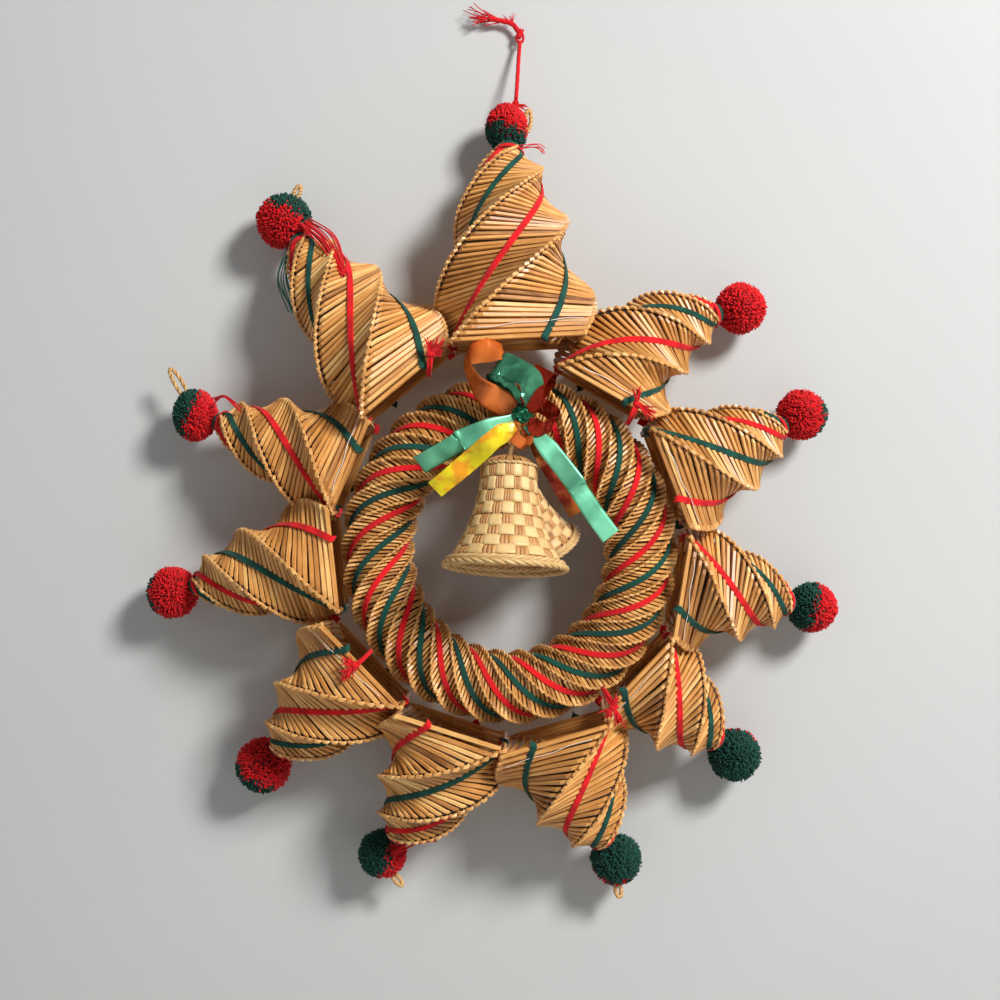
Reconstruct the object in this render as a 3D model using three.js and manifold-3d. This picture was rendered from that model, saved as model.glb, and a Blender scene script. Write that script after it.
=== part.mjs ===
// A hanging straw ornament: a spiral-plaited ring, eleven twisted straw horns standing
// round it with a yarn pompom on every tip, two woven bells under a foil bow, and the
// red yarn it hangs by.
//
// Millimetres. +Z is up, +X is to the right, the front faces -Y and the wall is the
// plane y = 0. The origin is the point where the hanging yarn goes over its nail.

import * as THREE from "three";
import Module from "manifold-3d";

const wasm = await Module();
wasm.setup();

// ---- driving dimensions -----------------------------------------------------------

const STRAW = 0xd9a557;
const STRAW_PALE = 0xe6c489;
const RED = 0xc0101c;
const GREEN = 0x0c4a40;
const FOIL_GREEN = 0x2f9a6c;
const FOIL_ORANGE = 0xe2641c;
const FOIL_RED = 0xb3202a;
const FOIL_GOLD = 0xf2b61c;
const MATT = 1; // roughness of yarn
const SHINY = { roughness: 0.25, metalness: 0.8 }; // metallised foil

const GAP = 0.4; // clearance between pieces that touch in the real thing

const MAX_CUT = 0.3; // the most of a side that one chamfer may take
const WALL_CLEARANCE = 3; // behind the widest part of a horn
const SWELL = 0.6; // how much a horn is grown before it is taken out of its neighbour
const KNOT_LIFT = 7; // from a horn's front face to the middle of the yarn tied over it

const RING = {
  x: -8, y: -58, z: -366, across: 88.5, up: 92.5, thickness: 50, ridges: 6, chamfer: 4, turns: 5,
  steps: 80,
};

// The tips lean back until the pompoms rest near the wall.
const POMPOM = { radius: 18.6, y: -26, sides: 10, rows: 6 };

// Horns, from the top one clockwise. bearing and seat place the middle of the open base
// round the ring's centre, facing is the way the base looks, side is the width of its
// four faces, aim and reach place the pompom.
const HORNS = [
  { bearing: 88, seat: 137, facing: 93, side: 88, aim: 90.3, reach: 292, pompom: 0.87 },
  { bearing: 59, seat: 122, facing: 61, side: 72, aim: 46, reach: 232 },
  { bearing: 24.5, seat: 115.5, facing: 21, side: 71, aim: 24.5, reach: 224 },
  { bearing: -12, seat: 115.5, facing: -9, side: 69, aim: -11, reach: 215 },
  { bearing: -44, seat: 117.5, facing: -43, side: 68, aim: -42.5, reach: 213 },
  { bearing: -76, seat: 126, facing: -74, side: 76, aim: -71, reach: 229 },
  { bearing: -108, seat: 123.5, facing: -107, side: 76, aim: -112.5, reach: 230 },
  { bearing: -142, seat: 121, facing: -136, side: 76, aim: -138.5, reach: 228 },
  { bearing: -177, seat: 115.5, facing: -174, side: 70, aim: -172.5, reach: 236 },
  { bearing: 152.5, seat: 117.5, facing: 158, side: 66, aim: 157, reach: 237 },
  { bearing: 121.5, seat: 130, facing: 130, side: 76, aim: 124.5, reach: 276 },
];
const MOSTLY_GREEN = [4, 5, 6, 7]; // horns whose pompom shows more green than red
const HORN_CORNERS = 4;
const HORN_STEPS = 16;
const HORN_FIRST_TURN = -45; // one face of the base looks to the front
const HORN_END_STEP = 0.002; // share of the axis tried at a time when a horn is cut to length
const HORN_CHAMFER = 5; // straws rounding each corner
const HORN_TURN = 172; // degrees that a horn of constant width would twist
const HORN_TIP = 0.16; // width of a horn's end as a share of its base
const STRAIGHT_START = 0.45; // how much of the way a horn keeps its base's direction

// Straw left over at some tips is plaited into an eye that stands past the pompom.
const TIP_EYES = [
  { horn: 1, angle: 12, size: 3.6 },
  { horn: 6, angle: -86, size: 3.2 },
  { horn: 7, angle: -60, size: 4 },
  { horn: 10, angle: 118, size: 5 },
  { horn: 11, angle: 66, size: 3.4 },
];
const EYE_STRAW = 1.6;
const EYE_SIDES = 6;
const EYE_STEPS = 10;

// Red yarn tied round the base straws of some horns. across runs along the base's edge.
const YARN_KNOTS = [
  { horn: 2, across: 22, along: 2 },
  { horn: 5, across: 26, along: 2 },
  { horn: 8, across: 4, along: 3 },
  { horn: 11, across: 24, along: 2 },
];
const YARN_KNOT = { radius: 5, sides: 8, rows: 6 };

const BELL = { height: 69, cap: 4, wall: 2.2, shoulder: 18.2, mouth: 37.6, flare: 2.2 };
const BELL_STEM = { length: 9, radius: 3, rounding: 1 };
const BELL_CEILING = 3.2; // from the top of the cap to the hollow, at the middle
const BELL_RIM = 2.6;
const BELL_SEGMENTS = 16;
const BELL_STEPS = 6;
const BELLS = [
  { name: "bell_front", x: -8, y: -96, z: -307, lean: 11, swing: -2.5, scale: 1.03 },
  { name: "bell_back", x: -9, y: -56, z: -313, lean: -20, swing: 18, scale: 0.85 },
];

const BOW = { x: 0, y: -104, z: -277, knot: 5, detail: 1 };
const FOIL = { width: 14, pinched: 4, loopSpread: 26, tailSpread: 14, thickness: 0.6 };
// Loops stand out from the knot at an angle and curl over towards the front.
const FOIL_LOOPS = [
  { name: "bow_loop_orange", color: FOIL_ORANGE, angle: 129, length: 53, bulge: 9 },
  { name: "bow_loop_green", color: FOIL_GREEN, angle: 96, length: 41, bulge: 7 },
  { name: "bow_loop_red", color: FOIL_RED, angle: 48, length: 30, bulge: 7 },
  { name: "bow_curl_red", color: FOIL_RED, angle: 5, length: 19, bulge: 5 },
  { name: "bow_curl_orange", color: FOIL_ORANGE, angle: -98, length: 18, bulge: 4 },
];
// Tails hang from the knot through points given from it: right, towards the wall, up.
const FOIL_TAILS = [
  {
    name: "bow_tail_green_left",
    color: FOIL_GREEN,
    route: [[-5, -2, -5], [-26, -7, -14], [-45, -4, -23], [-64, 2, -32]],
  },
  {
    name: "bow_tail_gold",
    color: FOIL_GOLD,
    route: [[-5, -6, -8], [-18, -13, -17], [-34, -8, -30], [-55, -2, -49]],
  },
  {
    name: "bow_tail_green_right",
    color: FOIL_GREEN,
    route: [[4, -2, -8], [19, -5, -25], [36, -8, -49], [57, -2, -78]],
  },
  {
    name: "bow_tail_orange",
    color: FOIL_ORANGE,
    route: [[9, 1, -8], [25, 6, -32], [35, 9, -48], [44, 11, -64]],
  },
];
const FOIL_STEPS = 9;
// A loop's route: clear of the knot by start, parted by mouth, widest at the two shares.
const LOOP = { start: 2, mouth: 2.5, backWide: 0.6, frontWide: 0.62 };

// The hanging yarn: from behind the top pompom up to the nail, where it is knotted.
const YARN = { radius: 1.7, sides: 8, steps: 14 };
const YARN_ROUTE = [[-3, -24, -52.5], [-2, -18, -38], [-1, -11, -20], [0, -6, -7]];
const YARN_END = { radius: 3.2, sides: 8, steps: 12 };
const YARN_END_ROUTE = [[3, -4, -3], [0, -4.5, 4], [-10, -5, 9], [-24, -5, 13], [-38, -5, 17]];

// ---- helpers ----------------------------------------------------------------------

const ornament = new THREE.Group();

const rad = THREE.MathUtils.degToRad;
const vec = (x, y, z) => new THREE.Vector3(x, y, z);
const FRONT = vec(0, -1, 0);

// The direction in the plane of the wall at an angle from +X towards +Z.
const heading = (degrees) => vec(Math.cos(rad(degrees)), 0, Math.sin(rad(degrees)));

const ringCentre = vec(RING.x, RING.y, RING.z);
const bowKnot = vec(BOW.x, BOW.y, BOW.z);

function add(name, geometry, color, roughness = 0.7, metalness = 0) {
  const material = new THREE.MeshStandardMaterial({ color, roughness, metalness });
  const mesh = new THREE.Mesh(geometry, material);
  mesh.name = name;
  ornament.add(mesh);
  return mesh;
}

function toSolid(geometry) {
  const mesh = new wasm.Mesh({
    numProp: 3,
    vertProperties: geometry.getAttribute("position").array,
    triVerts: new Uint32Array(geometry.getIndex().array),
  });
  return new wasm.Manifold(mesh);
}

function toGeometry(solid) {
  const { vertProperties, triVerts } = solid.getMesh();
  const geometry = new THREE.BufferGeometry();
  geometry.setAttribute("position", new THREE.BufferAttribute(vertProperties, 3));
  geometry.setIndex(new THREE.BufferAttribute(triVerts, 1));
  return geometry;
}

// A closed skin over a row of sections, each a list of points turning anticlockwise as
// seen from the end of the row. A row that closes on itself has no end faces.
function loft(sections, closed = false) {
  const count = sections[0].length;
  const rows = sections.length;
  const positions = sections.flat().flatMap((p) => [p.x, p.y, p.z]);
  const index = [];
  const at = (row, i) => (row % rows) * count + (i % count);
  for (let row = 0; row < (closed ? rows : rows - 1); row += 1) {
    for (let i = 0; i < count; i += 1) {
      index.push(at(row, i), at(row, i + 1), at(row + 1, i + 1));
      index.push(at(row, i), at(row + 1, i + 1), at(row + 1, i));
    }
  }
  if (!closed) {
    for (let i = 1; i < count - 1; i += 1) {
      index.push(at(0, 0), at(0, i + 1), at(0, i));
      index.push(at(rows - 1, 0), at(rows - 1, i), at(rows - 1, i + 1));
    }
  }
  const geometry = new THREE.BufferGeometry();
  geometry.setAttribute("position", new THREE.Float32BufferAttribute(positions, 3));
  geometry.setIndex(index);
  return geometry;
}

// A regular polygon with its corners cut back, in the plane of two unit vectors.
function chamferedPolygon(centre, first, second, corners, radius, turn, chamfer) {
  const corner = (k) => {
    const angle = rad(turn) + (2 * Math.PI * k) / corners;
    return centre.clone()
      .addScaledVector(first, radius * Math.cos(angle))
      .addScaledVector(second, radius * Math.sin(angle));
  };
  const side = 2 * radius * Math.sin(Math.PI / corners);
  const cut = Math.min(chamfer / side, MAX_CUT);
  const points = [];
  for (let k = 0; k < corners; k += 1) {
    const here = corner(k);
    points.push(here.clone().lerp(corner(k - 1), cut), here.clone().lerp(corner(k + 1), cut));
  }
  return points;
}

// ---- the ring ---------------------------------------------------------------------

// A six-ridged spiral plait bent round into a hoop, turning as it goes.
function ringGeometry() {
  const sections = [];
  for (let i = 0; i < RING.steps; i += 1) {
    const degrees = (360 * i) / RING.steps;
    const out = heading(degrees);
    const centre = ringCentre.clone().add(vec(RING.across * out.x, 0, RING.up * out.z));
    const back = vec(0, 1, 0);
    const turn = degrees * RING.turns;
    const radius = RING.thickness / 2;
    sections.push(
      chamferedPolygon(centre, out, back, RING.ridges, radius, turn, RING.chamfer),
    );
  }
  return loft(sections, true);
}

// ---- horns ------------------------------------------------------------------------

function pompomCentre(horn) {
  const centre = ringCentre.clone().addScaledVector(heading(horn.aim), horn.reach);
  return centre.setY(POMPOM.y);
}

// The middle of a horn's base, held off the wall by half the horn's diagonal.
function hornBase({ bearing, seat, side }) {
  const base = ringCentre.clone().addScaledVector(heading(bearing), seat);
  return base.setY(-side * Math.SQRT1_2 - WALL_CLEARANCE);
}

// The middle line of a horn: it leaves the base squarely and ends in the pompom.
function hornAxis(horn) {
  const base = hornBase(horn);
  const pompom = pompomCentre(horn);
  const straight = base.distanceTo(pompom) * STRAIGHT_START;
  const bend = base.clone().addScaledVector(heading(horn.facing), straight);
  return new THREE.QuadraticBezierCurve3(base, bend, pompom);
}

const pompomRadius = ({ pompom = 1 }) => pompom * POMPOM.radius;

// How far along its axis a horn stops, so that its end just clears the pompom.
function hornEnd(horn, axis) {
  const pompom = pompomCentre(horn);
  let end = 1;
  while (axis.getPoint(end).distanceTo(pompom) < pompomRadius(horn) + GAP) {
    end -= HORN_END_STEP;
  }
  return end;
}

// A horn narrows like the square root of what is left of its length.
const taper = (u) => Math.sqrt(1 - u * (1 - HORN_TIP ** 2));

// A four-sided spiral plait: every course of straw turns it a little, and turns it more
// where the sides are shorter. swell moves the whole skin outwards.
function hornGeometry(horn, swell = 0) {
  const axis = hornAxis(horn);
  const end = hornEnd(horn, axis);
  const halfDiagonal = horn.side * Math.SQRT1_2;
  const sections = [];
  let turn = HORN_FIRST_TURN;
  for (let i = 0; i <= HORN_STEPS; i += 1) {
    const u = i / HORN_STEPS;
    const along = axis.getTangent(u * end);
    const across = FRONT.clone().cross(along).normalize();
    const ahead = along.clone().cross(across);
    const centre = axis.getPoint(u * end);
    const radius = halfDiagonal * taper(u) + swell;
    sections.push(
      chamferedPolygon(centre, across, ahead, HORN_CORNERS, radius, turn, HORN_CHAMFER),
    );
    turn += HORN_TURN / HORN_STEPS / taper(u + 0.5 / HORN_STEPS);
  }
  return loft(sections);
}

// The horns stand so close that each one presses into the next one's flank.
function hornSolid(i) {
  const everyOther = i % 2 === 1;
  const last = i === HORNS.length - 1;
  let solid = toSolid(hornGeometry(HORNS[i]));
  if (everyOther || last) {
    const after = HORNS[(i + 1) % HORNS.length];
    solid = solid.subtract(toSolid(hornGeometry(after, SWELL)));
  }
  if (everyOther) {
    solid = solid.subtract(toSolid(hornGeometry(HORNS[i - 1], SWELL)));
  }
  return toGeometry(solid);
}

// ---- small pieces -----------------------------------------------------------------

function addPompom(horn, name, color) {
  const geometry = new THREE.SphereGeometry(pompomRadius(horn), POMPOM.sides, POMPOM.rows);
  const pompom = add(name, geometry, color, MATT);
  pompom.position.copy(pompomCentre(horn));
}

// A plaited eye standing on the pompom's skin.
function addTipEye({ horn, angle, size }) {
  const out = heading(angle);
  const away = pompomRadius(HORNS[horn - 1]) + GAP + size + EYE_STRAW;
  const geometry = new THREE.TorusGeometry(size, EYE_STRAW, EYE_SIDES, EYE_STEPS);
  const eye = add(`tip_eye_${horn}`, geometry, STRAW_PALE);
  eye.position.copy(pompomCentre(HORNS[horn - 1])).addScaledVector(out, away);
  eye.rotation.x = Math.PI / 2;
}

function addYarnKnot({ horn, across, along }) {
  const { facing, side } = HORNS[horn - 1];
  const geometry = new THREE.SphereGeometry(YARN_KNOT.radius, YARN_KNOT.sides, YARN_KNOT.rows);
  const knot = add(`yarn_knot_${horn}`, geometry, RED, MATT);
  knot.position.copy(hornBase(HORNS[horn - 1]))
    .addScaledVector(heading(facing), along)
    .addScaledVector(heading(facing - 90), across)
    .addScaledVector(FRONT, side / 2 + KNOT_LIFT);
}

// ---- bells ------------------------------------------------------------------------

// The bell flares as a power of the way down from its shoulder to its mouth.
const bellRadius = (way) => BELL.shoulder + (BELL.mouth - BELL.shoulder) * way ** BELL.flare;

function bellGeometry() {
  const outer = [];
  const inner = [];
  for (let i = 0; i <= BELL_STEPS; i += 1) {
    const way = i / BELL_STEPS;
    const depth = -BELL.cap - way * (BELL.height - BELL.cap - BELL_RIM);
    outer.push(new THREE.Vector2(bellRadius(way), depth));
    const innerDepth = Math.min(depth, -BELL.cap - BELL.wall);
    inner.push(new THREE.Vector2(bellRadius(way) - BELL.wall, innerDepth));
  }
  const profile = [
    new THREE.Vector2(0, BELL_STEM.length),
    new THREE.Vector2(BELL_STEM.radius, BELL_STEM.length - BELL_STEM.rounding),
    new THREE.Vector2(BELL_STEM.radius, 0),
    ...outer,
    new THREE.Vector2(BELL.mouth + BELL_RIM / 2, BELL_RIM / 2 - BELL.height),
    new THREE.Vector2(BELL.mouth - BELL.wall / 2, -BELL.height),
    ...inner.reverse(),
    new THREE.Vector2(0, -BELL_CEILING),
  ];
  const geometry = new THREE.LatheGeometry(profile.reverse(), BELL_SEGMENTS);
  return geometry.rotateX(Math.PI / 2);
}

function addBell({ name, x, y, z, lean, swing, scale }) {
  const bell = add(name, bellGeometry().scale(scale, scale, scale), STRAW_PALE, 0.6);
  bell.position.set(x, y, z);
  bell.rotation.set(rad(-lean), rad(-swing), 0);
}

// ---- the foil bow -----------------------------------------------------------------

// A strip of foil along a route, pinched where it meets the knot and full width from
// spread on. widthAt gives the direction of its width for a tangent.
function foilStrip(points, spread, widthAt, pinchedEnd = false) {
  const route = new THREE.CatmullRomCurve3(points);
  const length = route.getLength();
  const sections = [];
  for (let i = 0; i <= FOIL_STEPS; i += 1) {
    const way = i / FOIL_STEPS;
    const along = route.getTangentAt(way);
    const across = widthAt(along).normalize();
    const up = along.clone().cross(across).normalize();
    const fromKnot = (pinchedEnd ? Math.min(way, 1 - way) : way) * length;
    const open = Math.min(fromKnot / spread, 1);
    const half = THREE.MathUtils.lerp(FOIL.pinched, FOIL.width, open) / 2;
    const at = (a, b) => route.getPointAt(way)
      .addScaledVector(across, a * half)
      .addScaledVector(up, (b * FOIL.thickness) / 2);
    sections.push([at(-1, -1), at(1, -1), at(1, 1), at(-1, 1)]);
  }
  return loft(sections);
}

function addFoilLoop({ name, color, angle, length, bulge }) {
  const out = heading(angle);
  const at = (far, front) => bowKnot.clone()
    .addScaledVector(out, far)
    .addScaledVector(FRONT, front);
  const start = BOW.knot + LOOP.start;
  const points = [
    at(start, -LOOP.mouth),
    at(length * LOOP.backWide, -bulge),
    at(length, 0),
    at(length * LOOP.frontWide, bulge),
    at(start, LOOP.mouth),
  ];
  const strip = foilStrip(points, FOIL.loopSpread, () => heading(angle + 90), true);
  add(name, strip, color, SHINY.roughness, SHINY.metalness);
}

function addFoilTail({ name, color, route }) {
  const points = route.map(([x, y, z]) => bowKnot.clone().add(vec(x, y, z)));
  const across = (along) => along.clone().cross(FRONT);
  const strip = foilStrip(points, FOIL.tailSpread, across);
  add(name, strip, color, SHINY.roughness, SHINY.metalness);
}

// ---- yarn -------------------------------------------------------------------------

// A round tube with closed ends along a smooth curve.
function tube(route, { radius, sides, steps }) {
  const shape = new THREE.Shape();
  for (let k = 0; k < sides; k += 1) {
    const angle = (2 * Math.PI * k) / sides;
    const point = [radius * Math.cos(angle), radius * Math.sin(angle)];
    if (k) {
      shape.lineTo(...point);
    } else {
      shape.moveTo(...point);
    }
  }
  const curve = new THREE.CatmullRomCurve3(route.map((p) => vec(...p)));
  return new THREE.ExtrudeGeometry(shape, { steps, extrudePath: curve, bevelEnabled: false });
}

// ---- the ornament -----------------------------------------------------------------

add("ring", ringGeometry(), STRAW);

HORNS.forEach((horn, i) => {
  add(`horn_${i + 1}`, hornSolid(i), STRAW);
  addPompom(horn, `pompom_${i + 1}`, MOSTLY_GREEN.includes(i + 1) ? GREEN : RED);
});
TIP_EYES.forEach(addTipEye);
YARN_KNOTS.forEach(addYarnKnot);

BELLS.forEach(addBell);

const knotGeometry = new THREE.IcosahedronGeometry(BOW.knot, BOW.detail);
const knot = add("bow_knot", knotGeometry, FOIL_GREEN, SHINY.roughness, SHINY.metalness);
knot.position.copy(bowKnot);
FOIL_LOOPS.forEach(addFoilLoop);
FOIL_TAILS.forEach(addFoilTail);

add("hanger_yarn", tube(YARN_ROUTE, YARN), RED, MATT);
add("hanger_knot", tube(YARN_END_ROUTE, YARN_END), RED, MATT);

export default ornament;
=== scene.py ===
"""The looks of a hanging straw ornament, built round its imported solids.

Metres, +Z up, +X to the right, the front towards -Y and the wall at y = 0, as in the frame.
Every straw, strand and strap is a surface of its own, worked out as whole arrays.
"""
import logging
import math
from dataclasses import dataclass
from enum import Enum

import bpy
import numpy as np
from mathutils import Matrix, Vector


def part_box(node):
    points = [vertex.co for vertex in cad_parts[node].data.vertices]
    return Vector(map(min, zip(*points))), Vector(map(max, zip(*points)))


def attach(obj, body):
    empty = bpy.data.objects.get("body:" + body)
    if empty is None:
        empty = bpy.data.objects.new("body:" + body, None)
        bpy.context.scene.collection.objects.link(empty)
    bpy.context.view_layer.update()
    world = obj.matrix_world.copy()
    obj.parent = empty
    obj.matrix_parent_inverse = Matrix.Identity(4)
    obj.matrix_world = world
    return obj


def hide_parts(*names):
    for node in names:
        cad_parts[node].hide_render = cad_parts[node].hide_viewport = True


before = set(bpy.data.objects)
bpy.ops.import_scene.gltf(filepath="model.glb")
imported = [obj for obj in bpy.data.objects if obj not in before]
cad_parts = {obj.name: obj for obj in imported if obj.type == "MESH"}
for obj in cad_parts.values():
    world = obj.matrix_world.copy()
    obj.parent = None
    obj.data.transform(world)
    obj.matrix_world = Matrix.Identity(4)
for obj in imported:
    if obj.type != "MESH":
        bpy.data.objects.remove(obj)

Array = np.ndarray
Place = tuple[float, float, float]
MM = 0.001
TAU = 2 * math.pi
HALF_DIAGONAL = math.sqrt(0.5)
FRONT = np.array([0.0, -1.0, 0.0])
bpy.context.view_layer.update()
SEED = 7
log = logging.getLogger("ornament")


# ---- vectors and routes ---------------------------------------------------------------


def heading(degrees: Array | float) -> Array:
    """The direction in the plane of the wall at an angle from +X towards +Z.

    Args:
        degrees: one angle or an array of them.

    Returns:
        Unit vectors, with the three parts along the last axis.
    """
    angle = np.radians(np.asarray(degrees, float))
    return np.stack([np.cos(angle), np.zeros_like(angle), np.sin(angle)], -1)


def unit(vectors: Array) -> Array:
    """Each vector divided by its length."""
    return vectors / np.maximum(np.linalg.norm(vectors, axis=-1, keepdims=True), 1e-12)


def smoothstep(low: float, high: float, value: Array) -> Array:
    """0 below low, 1 above high, and a smooth rise between: 3 t squared less 2 t cubed."""
    share = np.clip((value - low) / (high - low), 0, 1)
    return share * share * (3 - 2 * share)


def smooth_route(points: Array, count: int) -> Array:
    """A smooth curve through points: a Catmull-Rom spline, evenly stepped in its parameter.

    Args:
        points: (p, 3) places that the curve passes through.
        count: how many points to return.

    Returns:
        (count, 3) points along the curve.
    """
    points = np.asarray(points, float)
    ends = np.vstack([2 * points[0] - points[1], points, 2 * points[-1] - points[-2]])
    place = np.linspace(0, len(points) - 1 - 1e-9, count)
    first = place.astype(int)
    t = (place - first)[:, None]
    a, b, c, d = (ends[first + k] for k in range(4))
    return 0.5 * (
        2 * b + (c - a) * t + (2 * a - 5 * b + 4 * c - d) * t**2 + (3 * b - a - 3 * c + d) * t**3
    )


def cross_frame(path: Array, toward: Array) -> tuple[Array, Array]:
    """Two unit vectors square to a path: side, and up which leans as near toward as it can.

    Args:
        path: (n, m, 3) points.
        toward: a vector or (n, m, 3) vectors that up should follow.

    Returns:
        side and up, each (n, m, 3).
    """
    along = unit(np.gradient(path, axis=1))
    side = unit(np.cross(np.broadcast_to(toward, path.shape), along))
    return side, np.cross(along, side)


# ---- surfaces -------------------------------------------------------------------------


@dataclass
class Shell:
    """Faces worked out as arrays, ready to become a mesh.

    A face has four corners, the last of them -1 on a triangle. tone is each straw's or
    strand's own shade, with painted shade in it on pompom strands and bell rounds, and fold is 1
    where it is folded, both from 0 to 1; the straw finish paints a highlight by fold.
    """

    points: Array
    faces: Array
    uv: Array
    tone: Array
    fold: Array

    @staticmethod
    def joined(shells: "list[Shell]") -> "Shell":
        """All shells as one, with their faces renumbered.

        Args:
            shells: the shells, in order.

        Returns:
            One shell with all their faces.
        """
        starts = np.cumsum([0] + [len(s.points) for s in shells[:-1]])
        faces = [np.where(s.faces < 0, -1, s.faces + k) for s, k in zip(shells, starts)]
        return Shell(
            np.concatenate([s.points for s in shells]),
            np.concatenate(faces),
            np.concatenate([s.uv for s in shells]),
            np.concatenate([s.tone for s in shells]),
            np.concatenate([s.fold for s in shells]),
        )


def round_outline(sides: int) -> Array:
    """A regular outline of unit radius, anticlockwise, whose seam is underneath."""
    angle = TAU * np.arange(sides) / sides - math.pi / 2
    return np.stack([np.cos(angle), np.sin(angle)], -1)


def flat_outline(steps: int) -> Array:
    """A band's outline, from -1 to 1 wide and high: out along its underside, back on top.

    Args:
        steps: how many points across.

    Returns:
        (2 * steps, 2) points, anticlockwise.
    """
    across = np.linspace(-1, 1, steps)
    height = np.where(np.abs(across) < 1, 1.0, 0.35)
    under = np.stack([across, -height], -1)
    return np.vstack([under, np.stack([across, height], -1)[::-1]])


def lobed_outline(lobes: int) -> Array:
    """A band's outline whose top swells once for each strand that lies side by side in it.

    Args:
        lobes: how many strands.

    Returns:
        (2 * lobes + 3, 2) points, anticlockwise.
    """
    across = np.linspace(1, -1, 2 * lobes + 1)
    height = np.where(np.arange(2 * lobes + 1) % 2, 1.0, 0.45)
    return np.vstack([[[-1, -0.6], [1, -0.6]], np.stack([across, height], -1)])


def sweep(
    path: Array,
    side: Array,
    up: Array,
    outline: Array,
    width: Array | float,
    height: Array | float,
    tone: Array | float = 0.5,
    fold: Array | float = 0.0,
    closed: bool = False,
) -> Shell:
    """Carries a closed outline along many paths at once.

    A point is path + x * width * side + y * height * up, for each (x, y) of the outline.

    Args:
        path: (n, m, 3) n paths of m points.
        side: (n, m, 3) direction of the outline's x.
        up: (n, m, 3) direction of the outline's y.
        outline: (s, 2) points, anticlockwise.
        width: half width, spread over (n, m).
        height: half height, spread over (n, m).
        tone: shade, spread over (n, m).
        fold: folded share, spread over (n, m); the straw finish paints a highlight by it.
        closed: whether each path ends where it starts.

    Returns:
        The skin of every tube, with its ends closed.
    """
    n, m, _ = path.shape
    s = len(outline)
    wide = np.broadcast_to(width, (n, m))[..., None, None]
    high = np.broadcast_to(height, (n, m))[..., None, None]
    points = (
        path[:, :, None]
        + outline[:, 0, None] * wide * side[:, :, None]
        + outline[:, 1, None] * high * up[:, :, None]
    )
    here = np.arange(n * m * s).reshape(n, m, s)
    turned = np.roll(here, -1, axis=2)
    rows = slice(None) if closed else slice(0, m - 1)
    ahead = np.roll(here, -1, axis=1)
    ahead_turned = np.roll(turned, -1, axis=1)
    quads = np.stack(
        [here[:, rows], turned[:, rows], ahead_turned[:, rows], ahead[:, rows]], -1
    ).reshape(-1, 4)
    parts = [quads]
    if not closed:
        k = np.arange(1, s - 1)
        for row, (second, third) in ((0, (k + 1, k)), (m - 1, (k, k + 1))):
            ring = here[:, row]
            fan = [np.broadcast_to(ring[:, :1], (n, s - 2)), ring[:, second], ring[:, third]]
            missing = np.full((n, s - 2), -1)
            parts.append(np.stack([*fan, missing], -1).reshape(-1, 4))
    along = np.gradient(path, axis=1)
    if np.sum(np.cross(side, up) * along) < 0:
        parts = [quads[:, ::-1]] + [p[:, [0, 2, 1, 3]] for p in parts[1:]]
    steps = np.linalg.norm(np.diff(path, axis=1), axis=-1)
    run = np.concatenate([np.zeros((n, 1)), np.cumsum(steps, axis=1)], axis=1)
    uv = np.stack(np.broadcast_arrays(run[..., None], np.arange(s) / s), -1)
    tone, fold = (
        np.repeat(np.broadcast_to(value, (n, m)).ravel(), s) for value in (tone, fold)
    )
    return Shell(points.reshape(-1, 3), np.concatenate(parts), uv.reshape(-1, 2), tone, fold)


def twine(
    path: Array, toward: Array, strands: int, turns: float, radius: float, thick: float,
    closed: bool = False,
) -> Shell:
    """Strands laid round a middle line like a rope: each is the line plus a turning radius.

    Args:
        path: (m, 3) the middle line.
        toward: the direction from which the turning is measured.
        strands: how many strands.
        turns: how often they go round.
        radius: from the middle line to a strand's middle.
        thick: half a strand's thickness.
        closed: whether the line ends where it starts.

    Returns:
        The strands' skins.
    """
    m = len(path)
    line = np.broadcast_to(path, (strands, m, 3))
    side, up = cross_frame(line, toward)
    share = np.arange(m) / (m if closed else m - 1)
    angle = TAU * (turns * share + np.arange(strands)[:, None] / strands)[..., None]
    out = np.cos(angle) * side + np.sin(angle) * up
    strand = line + radius * out
    across = unit(np.cross(out, np.gradient(strand, axis=1)))
    tone = 0.35 + 0.4 * np.arange(strands)[:, None] / strands
    return sweep(strand, across, out, round_outline(6), thick * 1.3, thick, tone, 0.3, closed)


def fringe(
    start: Array, aim: Array, spread: float, length: float, count: int, thick: float,
    rng: np.random.Generator, droop: float = 0.0,
) -> Shell:
    """Loose strands that fan out of one point: each is a slightly bent line of its own length.

    Args:
        start: where they leave.
        aim: (3,) the middle direction.
        spread: how far a strand's direction strays, as a share of its length.
        length: the longest strand.
        count: how many strands.
        thick: half a strand's thickness.
        rng: the seeded draws.
        droop: how far an end sinks, as a share of the length.

    Returns:
        The strands' skins.
    """
    steps = 8
    stray = rng.normal(0, 1, (count, 3)) * spread * np.array([1, 0.35, 1])
    way = unit(np.asarray(aim) + stray)[:, None]
    size = length * rng.uniform(0.6, 1, (count, 1, 1))
    t = np.linspace(0, 1, steps)[None, :, None]
    bend = rng.normal(0, 0.14, (count, 1, 3)) * np.array([1, 0.3, 1])
    path = start + size * (t * way + t**2 * (bend - np.array([0, 0, droop])))
    side, up = cross_frame(path, FRONT)
    taper = np.linspace(1, 0.6, steps)[None]
    shade = rng.uniform(0.2, 0.8, (count, 1))
    return sweep(path, side, up, round_outline(4), thick * taper, thick * taper, shade)


# ---- shader trees ---------------------------------------------------------------------


# How far apart two straws of different tone lie in the noise that streaks them.
TONE_SHIFT = 37.0


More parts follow.
